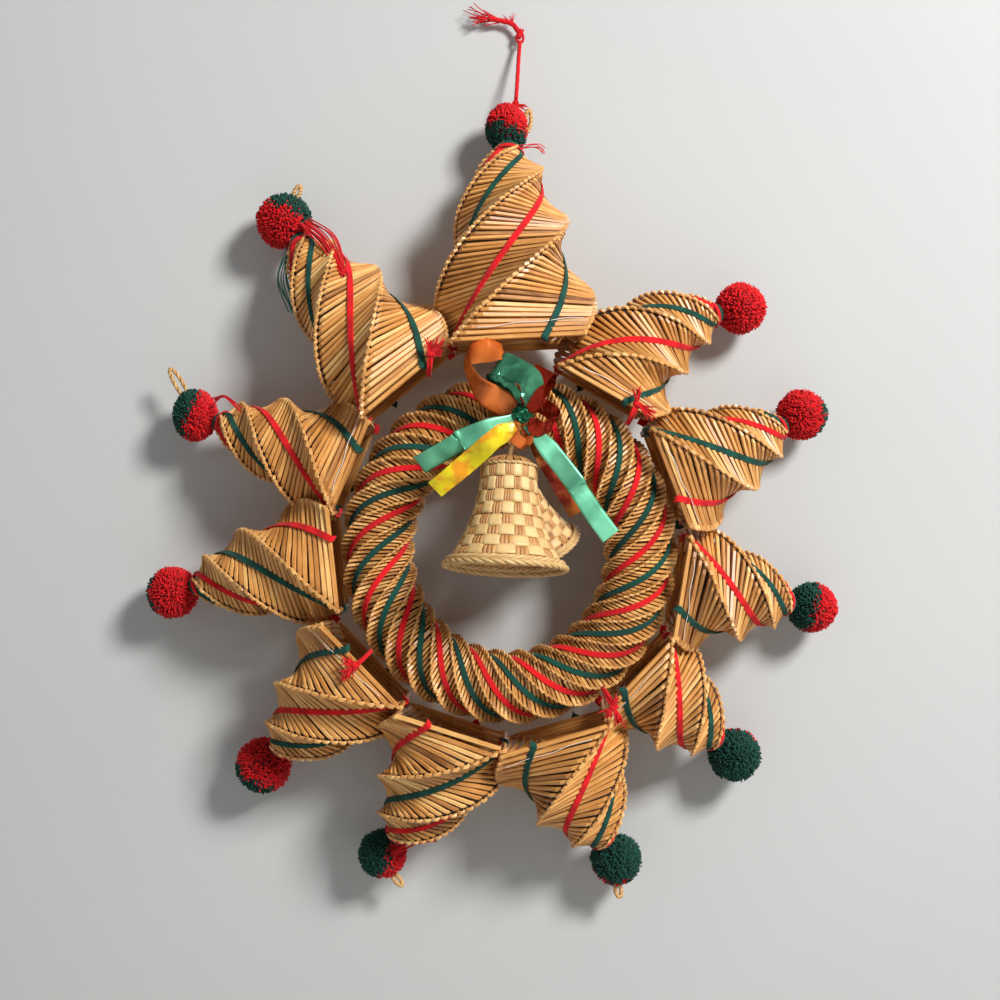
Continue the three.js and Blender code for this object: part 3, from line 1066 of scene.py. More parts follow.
@dataclass
class HornPlait(Plait):
    """One four-sided tapering horn.

    bearing and seat place the middle of its open base round the ring's centre, facing is
    the way the base looks and side is the width of its four faces there. first is the
    yarn on the face that looks forward at the base, and thread says whether a fine one is
    seen there. spacing is from course to course, crowd the share by which the courses
    close up, twist the degrees a whole length that the ridges turn by at the base and tip
    the share of the width left at the end. straight is how far along facing the middle
    line is drawn, as a share of the way to the pompom, and each binding is a place along
    the horn.
    """

    number: int
    bearing: float
    seat: float
    facing: float
    side: float
    first: YarnFinish
    thread: bool = True
    corners: int = 4
    straw: float = 2.7 * MM
    spacing: float = 2.8 * MM
    crowd: float = 0.2
    twist: float = 172
    tip: float = 0.16
    straight: float = 0.45
    wall_clearance: float = 3 * MM
    lining_rows: int = 90
    lining_inset: float = 2.4 * MM
    yarn_steps_a_course: int = 4
    yarn_width: float = 4.4 * MM
    red_binding: float = 0.965
    green_binding: float = 0.99

    def __post_init__(self) -> None:
        """Lays out the middle line from the base to the pompom, and counts the courses."""
        ring = node_centre("ring")
        base = ring + heading(self.bearing) * self.seat
        base[1] = -self.side * HALF_DIAGONAL - self.wall_clearance
        pompom = node_centre(f"pompom_{self.number}")
        low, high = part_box(f"pompom_{self.number}")
        reach = np.linalg.norm(pompom - base)
        self.line = (base, base + heading(self.facing) * reach * self.straight, pompom)
        share = np.linspace(0, 1, 801)
        points = self._place(share)
        clear = np.linalg.norm(points - pompom, axis=-1) > (high[2] - low[2]) / 2
        self.end = share[clear].max()
        length = np.linalg.norm(np.diff(points[clear], axis=0), axis=-1).sum()
        self.courses = round(length / self.spacing)
        self.length = length

    def _place(self, share: Array) -> Array:
        """The quadratic curve (1-t)^2 a + 2t(1-t) b + t^2 c.

        Args:
            share: t, from the base to the pompom's middle.

        Returns:
            The points, with the three parts along the last axis.
        """
        a, b, c = self.line
        t = np.asarray(share)[..., None]
        return (1 - t) ** 2 * a + 2 * t * (1 - t) * b + t**2 * c

    def sections(self, way: Array) -> Sections:
        """The width is the square root of what is left; the turn is its inverse summed up.

        Args:
            way: shares of the way to the pompom.

        Returns:
            The sections there.
        """
        a, b, c = self.line
        t = (way * self.end)[..., None]
        along = unit((1 - t) * (b - a) + t * (c - b))
        across = unit(np.cross(FRONT, along))
        left = 1 - self.tip**2
        taper = np.sqrt(1 - way * left)
        turn = np.radians(-45 + self.twist * 2 / left * (1 - taper))
        radius = self.side * HALF_DIAGONAL * taper * (1 - 0.35 * smoothstep(0.86, 1, way))
        return Sections(self._place(way * self.end), across, np.cross(along, across), along,
                        radius, turn)

    def pitch(self, way: Array, points: Array) -> Array:
        """The middle line's length shared among the courses, as crowded as at that way."""
        slope = np.sqrt((1 + self.crowd) ** 2 - 4 * self.crowd * way)
        return np.broadcast_to(self.length / self.courses * slope, points.shape[:-1])

    def course_way(self, share: Array) -> Array:
        """Courses crowd towards the tip: (1 + c) s - c s squared."""
        return (1 + self.crowd) * share - self.crowd * share**2

    def yarn_share(self, way: Array) -> Array:
        """Pulled tight, the yarn twists less than the ridges: it drifts back across its face."""
        return 0.7 - 0.36 * way

    def thickness(self, way: Array) -> Array:
        """The straws are nearly a third thinner at the tip."""
        return self.straw * (1 - 0.3 * np.asarray(way) ** 2)

    def build(self, shop: Workshop, rng: np.random.Generator) -> None:
        """Straws, lining and a strand on each face, the two colours by turns.

        Args:
            shop: the workshop that makes the pieces.
            rng: the seeded draws.
        """
        name = f"horn_{self.number}"
        shop.piece(f"{name}_plait", self.straws(rng), STRAW, (name,), smooth=False)
        lining = self.lining(self.lining_rows, self.lining_inset, False)
        # the lining is painted as the shade inside the horn
        shop.piece(f"{name}_lining", lining, INNER_SHADE)
        steps = self.courses * self.yarn_steps_a_course
        second = GREEN if self.first is RED else RED
        for finish, faces in ((self.first, (1, 3)), (second, (0, 2))):
            strands = [self.strand(face, steps, self.yarn_width, False) for face in faces]
            strands.append(self.binding(self.red_binding if finish is RED else self.green_binding))
            shop.piece(f"{name}_{finish.name}", Shell.joined(strands), finish)
        if self.thread:
            shop.piece(f"{name}_thread", self.sewing(), NYLON_GLINT)

    def binding(self, way: float) -> Shell:
        """Three turns of yarn drawn tight round the tip: circles square to the middle line.

        Args:
            way: how far along the horn the middle turn lies.

        Returns:
            The turns' skins.
        """
        steps, gap = 24, 0.009
        angle = TAU * np.arange(steps)[None] / steps
        at = self.sections(np.full((3, steps), way) + np.array([[-gap], [0], [gap]]))
        path = at.point(angle - at.turn, 0.9 * MM - 0.15 * at.radius)
        out = unit(path - at.centre)
        return sweep(path, at.along, out, round_outline(5), 0.8 * MM, 0.7 * MM,
                     np.array([[0.3], [0.6], [0.4]]), closed=True)

    def sewing(self) -> Shell:
        """A fine clear thread drawn across the base straws from ridge to ridge, a little wavy,
        painted pale all along as its glint.

        Returns:
            The thread's skin.
        """
        steps = 40
        at = self.sections(np.linspace(0.05, 0.085, steps))
        share = np.linspace(0.12, 0.9, steps)[:, None]
        first, second = (at.point(np.full(steps, TAU * turn)) for turn in (0.25, 0.5))
        out = unit((first + second) / 2 - at.centre)
        wave = 0.5 * MM * np.sin(share * 17 + self.number)
        path = (first + share * (second - first) + 1.3 * MM * out + wave * at.along)[None]
        side, up = cross_frame(path, out[None])
        return sweep(path, side, up, round_outline(5), 0.26 * MM, 0.22 * MM)


# ---- pompoms and yarn -----------------------------------------------------------------


def blob(centre: Array, radii: Array, rows: int = 12) -> Shell:
    """A closed egg: circles up a line from pole to pole, each the square root of 1 - h squared.

    Args:
        centre: its middle.
        radii: its half sizes.
        rows: how many circles.

    Returns:
        The skin, whose small ends are flat.
    """
    short_of_pole = 0.98
    height = np.sin(np.linspace(-math.pi / 2, math.pi / 2, rows) * short_of_pole)
    path = centre + height[:, None] * np.array([0, 0, radii[2]])
    wide = np.sqrt(1 - height**2)
    side = np.broadcast_to([1.0, 0, 0], (1, rows, 3))
    up = np.broadcast_to([0, 1.0, 0], (1, rows, 3))
    return sweep(path[None], side, up, round_outline(16), radii[0] * wide, radii[1] * wide)


@dataclass
class Pompom:
    """A ball of cut yarn in two colours; green is on the side towards green_way.

    edge is how far towards that side the colours part, from -1, all green, to 1, all red.
    size and stretch are this ball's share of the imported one's. root is where its strands
    start and core how big the ball under them is, as shares of its radius.
    """

    number: int
    green_way: Place
    edge: float
    size: float = 0.97
    stretch: Place = (1.0, 1.0, 1.0)
    strands: int = 2600
    thick: float = 0.56 * MM
    root: float = 0.74
    core: float = 0.88

    def build(self, shop: Workshop, rng: np.random.Generator) -> None:
        """Strands stand out of a core painted darker as the shade between them, spread over the ball
        by equal turns.

        Args:
            shop: the workshop that makes the pieces.
            rng: the seeded draws.
        """
        name = f"pompom_{self.number}"
        centre = node_centre(name)
        low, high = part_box(name)
        radii = (high[2] - low[2]) / 2 * self.size * np.array(self.stretch)
        n = self.strands
        height = 1 - 2 * (np.arange(n) + 0.5) / n
        turn = math.pi * (3 - math.sqrt(5)) * np.arange(n)
        flat = np.sqrt(1 - height**2)
        way = np.stack([flat * np.cos(turn), flat * np.sin(turn), height], -1)
        lumps = 0.03 * np.sin(way @ np.array([5, 3, 7]) + self.number) * np.cos(way[:, 1] * 6)
        lean = unit(way + rng.normal(0, 0.1, (n, 3)))
        reach = (rng.uniform(0.9, 1.07, n) + lumps)[:, None]
        path = centre + np.stack([self.root * way, reach * lean], 1) * radii
        side, up = cross_frame(path, np.array([0.31, 0.2, 0.93]))
        width = self.thick * np.array([[0.7, 1.25]]) * rng.uniform(0.8, 1.1, (n, 1))
        # painted shade: each strand's tone falls to 0.35 of itself at the root, deep in the ball
        tone = np.clip(rng.normal(0.7, 0.2, (n, 1)), 0, 1) * np.array([[0.35, 1]])
        wobble = 0.16 * np.sin(way @ np.array([7, 4, -6]) + 2 * self.number)
        share = way @ unit(np.array(self.green_way)) + wobble + rng.normal(0, 0.04, n)
        green = share > self.edge
        mostly = GREEN if green.mean() > 0.5 else RED
        # the core's darker colour is painted shade
        inside = GREEN_CORE_SHADE if mostly is GREEN else RED_CORE_SHADE
        shop.piece(f"{name}_core", blob(centre, radii * self.core), inside)
        for finish, chosen in ((RED, ~green), (GREEN, green)):
            if chosen.any():
                shell = sweep(path[chosen], side[chosen], up[chosen], round_outline(3),
                              width[chosen], width[chosen], tone[chosen])
                stands_for = (name,) if finish is mostly else ()
                shop.piece(f"{name}_{finish.name}", shell, finish, stands_for)


@dataclass
class Tuft:
    """Yarn tied round a horn's base straws: a wrap, a knot and cut ends.

    wrap is the way the wrap leaves the knot, and each of ends is a way in degrees in the
    plane of the wall with the length of the cut yarn there in millimetres. strands is how
    many an end has, yarn is half the thickness of one and forward how far they lean out.
    """

    number: int
    wrap: float
    ends: tuple[tuple[float, float], ...]
    wrap_length: float = 14 * MM
    strands: int = 26
    yarn: float = 0.5 * MM
    forward: float = 0.28

    def build(self, shop: Workshop, rng: np.random.Generator) -> None:
        """A wrap of side-by-side strands, a twined knot and a fringe for each way.

        Args:
            shop: the workshop that makes the pieces.
            rng: the seeded draws.
        """
        name = f"yarn_knot_{self.number}"
        centre = node_centre(name) + np.array([0, 3 * MM, 0])
        aim = heading(self.wrap)
        tones = np.array([[0.2], [0.6], [0.4], [0.7]])
        lanes = np.linspace(-1.2, 1.2, len(tones))[:, None, None] * MM * np.cross(aim, FRONT)
        t = np.linspace(0, 1, 12)[None, :, None]
        sway = rng.normal(0, 0.5 * MM, (len(tones), 1, 3)) * np.sin(t * 3)
        path = centre + lanes * (1 - 0.4 * t) + t * self.wrap_length * aim
        path = path + sway - FRONT * 9 * MM * t**4
        side, up = cross_frame(path, FRONT)
        wrap = sweep(path, side, up, round_outline(5), 0.75 * MM, 0.6 * MM, tones)
        knot_line = centre + np.linspace(-2.2, 2.2, 20)[:, None] * MM * np.cross(aim, FRONT)
        knot = twine(knot_line, FRONT, strands=3, turns=1.2, radius=1.2 * MM, thick=0.95 * MM)
        shells = [
            fringe(centre, heading(way) + self.forward * FRONT, spread=0.2, length=long * MM,
                   count=self.strands, thick=self.yarn, rng=rng)
            for way, long in self.ends
        ]
        shop.piece(f"{name}_tuft", Shell.joined([wrap, knot, *shells]), RED, (name,))


@dataclass
class TipEye:
    """A long narrow loop of twined straw whose foot is sunk in a pompom.

    aim is the long way in degrees; length and width are the loop's own and shift moves it
    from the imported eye's place, all in millimetres.
    """

    number: int
    aim: float
    length: float
    width: float
    shift: tuple[float, float] = (0.0, 0.0)

    def build(self, shop: Workshop) -> None:
        """A closed loop: an ellipse whose long way is aim, twined of two straws.

        Args:
            shop: the workshop that makes the pieces.
        """
        name = f"tip_eye_{self.number}"
        angle = TAU * np.arange(44)[:, None] / 44
        out, aside = heading(self.aim), heading(self.aim + 90)
        long, wide = self.length * MM / 2, self.width * MM / 2
        middle = node_centre(name) + np.array([self.shift[0], 0, self.shift[1]]) * MM
        path = middle + long * np.cos(angle) * out + wide * np.sin(angle) * aside
        loop = twine(path, FRONT, strands=2, turns=7, radius=0.85 * MM, thick=0.85 * MM, closed=True)
        shop.piece(f"{name}_loop", loop, LOOP_STRAW, (name,))


@dataclass
class Strays:
    """Loose yarn that leaves a pompom and lies over or beside its horn.

    start, middle and end are in millimetres from the pompom's centre, and spread is how
    far the outer strands lie from the middle one at each of them.
    """

    number: int
    label: str
    finish: YarnFinish
    start: Place
    middle: Place
    end: Place
    count: int
    spread: Place
    thick: float = 0.42

    def build(self, shop: Workshop, rng: np.random.Generator) -> None:
        """Smooth curves through three places, each strayed by its own share of spread.

        Args:
            shop: the workshop that makes the pieces.
            rng: the seeded draws.
        """
        centre = node_centre(f"pompom_{self.number}")
        lanes = np.linspace(-1, 1, self.count)
        anchors = np.array([self.start, self.middle, self.end])
        across = heading(math.degrees(math.atan2(*(anchors[2] - anchors[0])[[2, 0]])) + 90)
        curves = []
        for lane in lanes:
            stray = lane * np.array(self.spread)[:, None] * across
            stray = stray + rng.normal(0, 0.9, (3, 3)) * np.array([1, 0.4, 1])
            curves.append(smooth_route((anchors + stray) * MM, 26))
        path = centre + np.stack(curves)
        side, up = cross_frame(path, FRONT)
        tone = rng.uniform(0.2, 0.9, (self.count, 1))
        shell = sweep(path, side, up, round_outline(4), self.thick * MM, self.thick * MM, tone)
        shop.piece(f"strays_{self.number}_{self.label}", shell, self.finish)


@dataclass
class Hanger:
    """The red yarn from the top pompom to the nail, with its knot and loose ends.

    Places are in millimetres: knot from the yarn's upper end, and each of stem a way and
    a distance from the knot. Each spray leaves a numbered place of the stem and has a way,
    a spread, a length, a number of strands, half a strand's thickness and a droop.
    """

    route: tuple[Place, ...] = ((-3, -24, -52.5), (-2, -18, -38), (-1, -11, -20), (0, -6, -7))
    length: float = 0.049
    diameter: float = 0.0034
    strands: int = 5
    knot: Place = (0, 0.5, 5.5)
    stem: tuple[tuple[float, float], ...] = ((128, 9), (146, 17), (155, 25))
    sprays: tuple[tuple[float, ...], ...] = (
        (14, 165, 0.2, 25, 16, 0.5, -0.12),
        (-1, 178, 0.3, 15, 18, 0.45, -0.2),
        (8, 120, 0.3, 9, 7, 0.4, 0.0),
    )

    def build(self, shop: Workshop, rng: np.random.Generator) -> None:
        """The yarn is twined of several strands; the ends fan out to the left and up.

        Args:
            shop: the workshop that makes the pieces.
            rng: the seeded draws.
        """
        line = smooth_route(np.array(self.route) * MM, 32)
        yarn = twine(line, FRONT, strands=self.strands, turns=1.5, radius=0.85 * MM, thick=0.66 * MM)
        cord = shop.piece("hanger_yarn_line", yarn, RED, ("hanger_yarn",))
        top = line[-1] + np.array(self.knot) * MM
        knot_line = top + np.linspace(-3, 3, 24)[:, None] * MM * heading(70)
        knot = twine(knot_line, FRONT, strands=3, turns=1.5, radius=1.2 * MM, thick=0.9 * MM)
        places = [top, *(top + heading(way) * far * MM for way, far in self.stem)]
        places[-1] = places[-1] + FRONT * 2 * MM
        bundle = smooth_route(np.stack(places), 26)
        stem = twine(bundle, FRONT, strands=5, turns=1.0, radius=1.1 * MM, thick=0.75 * MM)
        ends = [
            fringe(bundle[place], heading(way), spread, length * MM, count, thick * MM, rng, droop)
            for place, way, spread, length, count, thick, droop in self.sprays
        ]
        turn = TAU * np.arange(28)[:, None] / 28
        oval = np.cos(turn) * heading(0) * 2.4 * MM + np.sin(turn) * heading(90) * 3.6 * MM
        oval = oval + line[-1] + np.array([0, 0.2, 2.6]) * MM
        eye = twine(oval, FRONT, strands=2, turns=4, radius=0.5 * MM, thick=0.6 * MM, closed=True)
        shell = Shell.joined([knot, stem, eye, *ends])
        tail = shop.piece("hanger_knot_ends", shell, RED, ("hanger_knot",))
        foot = line[0] + np.array([-0.4, 0.3, -4.0]) * MM
        root = fringe(line[1], np.array([-0.25, 0.1, -1]), spread=0.28, length=9 * MM, count=18,
                      thick=0.5 * MM, rng=rng)
        frill = fringe(foot, heading(-15), spread=0.25, length=9 * MM, count=12,
                       thick=0.5 * MM, rng=rng)
        shop.piece("hanger_root", Shell.joined([root, frill]), RED)


# ---- bells ----------------------------------------------------------------------------


@dataclass
class Bell:
    """A woven bell: straps go round it over and under upright ones in threes.

    place, lean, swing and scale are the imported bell's; lengths are in its own unscaled size.
    cap and rim are how much of the height the top and the edge take, and flare is the
    power by which the wall widens. weave is how far a strap moves in and out and inset how
    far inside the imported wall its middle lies. upright_gap and upright_half are the
    distance between three uprights and half of one's width, as shares of a column.
    """

    name: str
    place: Place
    lean: float
    swing: float
    scale: float
    height: float = 69 * MM
    cap: float = 4 * MM
    shoulder: float = 18.2 * MM
    mouth: float = 37.6 * MM
    flare: float = 2.2
    rim: float = 2.6 * MM
    rows: int = 8
    columns: int = 20
    weave: float = 0.7 * MM
    dip: float = 2.8 * MM
    inset: float = 1.1 * MM
    upright_gap: float = 0.27
    upright_half: float = 0.13

    def _tilted(self, points: Array) -> Array:
        """Points of the upright bell, scaled, swung sideways, leant and put in place.

        Args:
            points: points of it, with its cap's top at the origin.

        Returns:
            Where they stand.
        """
        lean, swing = math.radians(-self.lean), math.radians(-self.swing)
        about_x = np.array([[1, 0, 0], [0, math.cos(lean), -math.sin(lean)],
                            [0, math.sin(lean), math.cos(lean)]])
        about_y = np.array([[math.cos(swing), 0, math.sin(swing)], [0, 1, 0],
                            [-math.sin(swing), 0, math.cos(swing)]])
        return points @ (about_x @ about_y).T * self.scale + np.array(self.place) * MM

    def _wall(self, angle: Array, way: Array, lift: Array | float) -> Array:
        """The wall: radius = shoulder + (mouth - shoulder) * way^flare, plus lift outwards.

        Its front sags towards the mouth by dip * way cubed.

        Args:
            angle: round the bell.
            way: from the shoulder, 0, to the mouth, 1.
            lift: how far outwards.

        Returns:
            The points, of the upright bell.
        """
        radius = self.shoulder + (self.mouth - self.shoulder) * np.maximum(way, 0) ** self.flare
        radius = radius - self.inset + lift
        sag = self.dip * np.maximum(way, 0) ** 3 * (0.5 - 0.5 * np.sin(angle)) ** 2
        depth = -self.cap - way * (self.height - self.cap - self.rim) - sag
        parts = np.broadcast_arrays(radius * np.cos(angle), radius * np.sin(angle), depth)
        return np.stack(parts, -1)

    def _row_way(self, row: Array) -> Array:
        """Rows grow shorter towards the mouth: way = 1.2 s - 0.27 s squared."""
        share = row / self.rows
        return 1.2 * share - 0.27 * share**2

    def _placed(self, shell: Shell) -> Shell:
        """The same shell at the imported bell's place."""
        shell.points = self._tilted(shell.points)
        return shell

    def _rounds(self, rng: np.random.Generator) -> Shell:
        """The straps that go round; each row passes over the columns the last one went under.

        Args:
            rng: the seeded draws.

        Returns:
            The straps' skins, of the upright bell.
        """
        row = np.arange(self.rows)[:, None]
        angle = TAU * np.arange(self.columns * 8)[None] / (self.columns * 8)
        wave = np.cos(angle * self.columns / 2 + row * math.pi)
        lift = self.weave * np.tanh(2.4 * (wave + 0.36))
        uneven = rng.normal(0, 0.004, (self.rows, 1)) + 0.004 * np.sin(angle * 3 + row * 2)
        way = self._row_way(row + 0.5) + uneven
        path = self._wall(angle, way, lift)
        lower = self._wall(angle, way + 0.02, lift)
        side = unit(lower - path)
        out = unit(path * np.array([1, 1, 0]))
        up = unit(out - np.sum(out * side, axis=-1, keepdims=True) * side)
        span = (self._row_way(row + 1) - self._row_way(row)) * (self.height - self.cap - self.rim)
        tilt = self.mouth * self.flare / self.height
        half = span / 2 * np.sqrt(1 + (tilt * way**1.2) ** 2) * (0.97 - 0.06 * (wave < 0))
        block = np.floor(angle * self.columns / TAU + 0.5)
        # painted shade: 0.1 * wave darkens a strap where it dips under the uprights and lightens it
        # where it lies over them
        tone = np.clip(0.55 + 0.2 * np.sin(block * 12.9 + row * 78.2) + 0.1 * wave, 0, 1)
        return sweep(path, side, up, flat_outline(5), half, 0.3 * MM, tone, closed=True)

    def _uprights(self, rng: np.random.Generator) -> Shell:
        """Threes of narrow straps from the top of the cap down to the rim.

        They move in and out by a cosine whose sign changes from row to row and column to
        column.

        Args:
            rng: the seeded draws.

        Returns:
            The straps' skins, of the upright bell.
        """
        column = np.repeat(np.arange(self.columns), 3)[:, None]
        offset = np.tile([-self.upright_gap, 0.0, self.upright_gap], self.columns)[:, None]
        angle = TAU * (column + offset) / self.columns
        way = np.linspace(-0.02, 0.97, self.rows * 5 + 1)[None]
        s = (1.2 - np.sqrt(np.maximum(1.44 - 1.08 * way, 0))) / 0.54
        wave = -np.cos(math.pi * column) * np.cos(math.pi * (s * self.rows - 0.5))
        wall = self._wall(angle, way, self.weave * np.tanh(2.2 * (wave - 0.3)))
        share = np.linspace(0.16, 0.97, 7)[None]
        crown = (self.shoulder - 0.6 * MM) * share
        crown_depth = 2.6 * MM * (1 - share**2) - self.cap * share**4
        parts = np.broadcast_arrays(crown * np.cos(angle), crown * np.sin(angle), crown_depth)
        roof = np.stack(parts, -1)
        path = np.concatenate([roof, wall], axis=1)
        around = np.stack([-np.sin(angle), np.cos(angle), 0 * angle], -1)
        side = np.broadcast_to(around, path.shape)
        up = unit(np.cross(np.gradient(path, axis=1), side))
        out = path + np.array([0, 0, self.height])
        up = up * np.sign(np.sum(up * out, axis=-1, keepdims=True))
        reach = np.linalg.norm(path[..., :2], axis=-1) * TAU / self.columns * self.upright_half
        tone = np.clip(rng.normal(0.5, 0.25, (len(column), 1)), 0, 1)
        return sweep(path, side, up, flat_outline(3), reach, 0.25 * MM, tone)

    def _edges(self) -> Shell:
        """The twined ring at the shoulder, the plaited rim and the small stem.

        Returns:
            Their skins, of the upright bell.
        """
        angle = TAU * np.arange(220) / 220
        turned = np.stack([np.cos(angle), np.sin(angle), 0 * angle], -1)
        rise = np.array([0, 0, 1.0])
        sag = rise * (self.dip * (0.5 - 0.5 * np.sin(angle)) ** 2)[:, None]
        shoulder = turned * (self.shoulder - 0.2 * MM) - rise * (self.cap + 0.4 * MM)
        rim = turned * (self.mouth + 0.2 * MM) - rise * (self.height - self.rim * 0.8) - sag
        upper = turned * (self.mouth - 1.7 * MM) - rise * (self.height - self.rim * 1.9) - sag
        t = np.linspace(0, 1, 30)[:, None]
        stem = t * np.array([2.4, 0, 8.6]) * MM + rise * 1.5 * MM
        return Shell.joined([
            twine(shoulder, rise, strands=2, turns=15, radius=0.5 * MM, thick=0.62 * MM, closed=True),
            twine(rim, rise, strands=3, turns=13, radius=1.15 * MM, thick=1.0 * MM, closed=True),
            twine(upper, rise, strands=3, turns=-13, radius=1.05 * MM, thick=0.95 * MM, closed=True),
            twine(stem, FRONT, strands=3, turns=1.3, radius=1.4 * MM, thick=1.2 * MM),
        ])

    def build(self, shop: Workshop, rng: np.random.Generator) -> None:
        """Rounds, uprights and edges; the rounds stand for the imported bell.

        Args:
            shop: the workshop that makes the pieces.
            rng: the seeded draws.
        """
        shop.piece(f"{self.name}_rounds", self._placed(self._rounds(rng)), PALE_LEAF, (self.name,))
        shop.piece(f"{self.name}_uprights", self._placed(self._uprights(rng)), BROWN_LEAF)
        shop.piece(f"{self.name}_edges", self._placed(self._edges()), RIM_LEAF)


# ---- the foil bow ---------------------------------------------------------------------


@dataclass
class FoilRibbon:
    """A length of foil through places in millimetres from the knot, as its width is.

    across is the way that its width lies at each place, and a loop is pinched at both ends.
    crumple is how high the creases stand and creases how many pairs of them there are.
    """

    name: str
    node: str
    finish: FoilFinish
    route: tuple[Place, ...]
    across: tuple[Place, ...]
    width: float = 14
    loop: bool = False
    crumple: float = 0.5
    creases: int = 3
    steps: int = 90
    lanes: int = 9
    half_thickness: float = 0.07 * MM
    crease_height: float = 3 * MM
    smooth_below: float = 0.3

    def build(self, shop: Workshop, rng: np.random.Generator) -> None:
        """A band along the route; its crumple is a sum of folded waves, each |t - round t|.

        Args:
            shop: the workshop that makes the pieces.
            rng: the seeded draws.
        """
        knot = node_centre("bow_knot")
        line = (knot + smooth_route(np.array(self.route, float), self.steps) * MM)[None]
        along = unit(np.gradient(line, axis=1))
        place = np.linspace(0, len(self.across) - 1, self.steps)
        index = np.minimum(place.astype(int), len(self.across) - 2)
        ways = np.array(self.across, float)
        share = (place - index)[:, None]
        side = ((1 - share) * ways[index] + share * ways[index + 1])[None]
        side = unit(side - np.sum(side * along, axis=-1, keepdims=True) * along)
        up = np.cross(along, side)
        way = np.linspace(0, 1, self.steps)[None]
        near = np.minimum(way, 1 - way) * 2 if self.loop else way
        width = self.width * MM / 2 * (0.5 + 0.5 * smoothstep(0, 0.22, near))
        outline = flat_outline(self.lanes)
        shell = sweep(line, side, up, outline, width, self.half_thickness)
        run = shell.uv[:, 0] / shell.uv[:, 0].max()
        across = np.tile(outline[:, 0], self.steps)
        height = np.zeros_like(run)
        for _ in range(self.creases * 2):
            slope, phase, count = rng.uniform(-0.35, 0.35), rng.uniform(0, 1), rng.uniform(1, 4)
            t = run * count + across * slope + phase
            height += (np.abs(t - np.round(t)) - 0.25) / math.sqrt(self.creases)
        rise = (height * self.crumple * self.crease_height)[:, None]
        shell.points += np.repeat(up[0], len(outline), axis=0) * rise
        smooth = self.crumple < self.smooth_below
        shop.piece(self.name, shell, self.finish, (self.node,), smooth)


BOW = (
    FoilRibbon(
        "loop_orange", "bow_loop_orange", ORANGE_FOIL,
        ((-2, 1, 2), (-13, 1, 7), (-22, -3, 12), (-30, -3, 20), (-35, 0, 30), (-32, -5, 38),
         (-22, -9, 40), (-12, -6, 39), (-6, 1, 27), (-1, 2, 6)),
        ((0.7, 0, 0.7), (0.5, -0.3, 0.8), (0.4, -0.3, 0.85), (0.5, -0.85, 0.2), (0.3, -0.9, -0.3),
         (-0.1, -0.35, -0.95), (0.1, -0.35, -0.93), (0.3, -0.6, -0.7), (0.8, -0.4, 0.2),
         (0.8, 0, 0.3)), 17, True, 0.25, 2,
    ),
    FoilRibbon(
        "loop_green", "bow_loop_green", LOOP_GREEN_FOIL,
        ((-1, 0, 3), (-7, 2, 10), (-13, 1, 20), (-17, -5, 28), (-13, -12, 31), (-4, -14, 27),
         (5, -13, 21), (6, -9, 11), (1, -2, 3)),
        ((0.6, -0.15, 0.8),) * 9, 15, True, 1.15, 5,
    ),
    FoilRibbon(
        "loop_red", "bow_loop_red", RED_FOIL,
        ((2, 1, 3), (9, 4, 13), (16, 2, 24), (15, -5, 28), (9, -9, 21), (6, -9, 10), (3, -4, 2)),
        ((0.83, -0.3, -0.5),) * 7, 14, True, 0.7, 2,
    ),
    FoilRibbon(
        "curl_red", "bow_curl_red", RED_FOIL,
        ((3, 0, 1), (12, 3, 5), (20, 1, 0), (20, -5, -6), (12, -8, -10), (4, -5, -5)),
        ((0.45, -0.4, 0.8),) * 6, 11, True, 0.9, 3,
    ),
    FoilRibbon(
        "curl_orange", "bow_curl_orange", ORANGE_FOIL,
        ((-3, -2, -3), (-6, -4, -9), (-4, -7, -16), (2, -6, -20), (4, -3, -13), (1, -1, -5)),
        ((0.85, -0.3, 0.4),) * 6, 8, True, 0.6, 2,
    ),
    FoilRibbon(
        "tail_green_left", "bow_tail_green_left", GREEN_FOIL,
        ((-4, -2, -3), (-20, -8, -10), (-38, -10, -17), (-41, -8, -19), (-53, -3, -26),
         (-66, 2, -33)),
        ((-0.4, -0.2, 0.88), (-0.42, -0.12, 0.88), (-0.44, 0.05, 0.88), (-0.35, -0.5, 0.8),
         (-0.35, -0.5, 0.8), (-0.35, -0.45, 0.82)), 14, False, 0.2, 3,
    ),
    FoilRibbon(
        "tail_gold", "bow_tail_gold", GOLD_FOIL,
        ((-5, -6, -8), (-18, -13, -17), (-34, -9, -31), (-56, -2, -49)),
        ((-0.6, -0.1, 0.8), (-0.6, -0.35, 0.75), (-0.6, -0.2, 0.8), (-0.7, -0.25, 0.7)),
        13, False, 0.9, 6,
    ),
    FoilRibbon(
        "tail_green_right", "bow_tail_green_right", GREEN_FOIL,
        ((3, -2, -7), (17, -6, -23), (33, -9, -44), (36, -8, -49), (46, -5, -64), (57, -2, -79)),
        ((0.75, 0.1, 0.6), (0.8, 0.15, 0.6), (0.82, -0.15, 0.55), (0.8, 0.3, 0.55),
         (0.8, 0.2, 0.55), (0.82, 0.1, 0.55)), 13, False, 0.12, 2,
    ),
    FoilRibbon(
        "tail_ember", "bow_tail_orange", EMBER_FOIL,
        ((5, 1, -8), (19, 6, -31), (29, 9, -48), (38, 11, -63)),
        ((0.8, 0.1, 0.5),) * 4, 16, False, 0.9, 6,
    ),
)


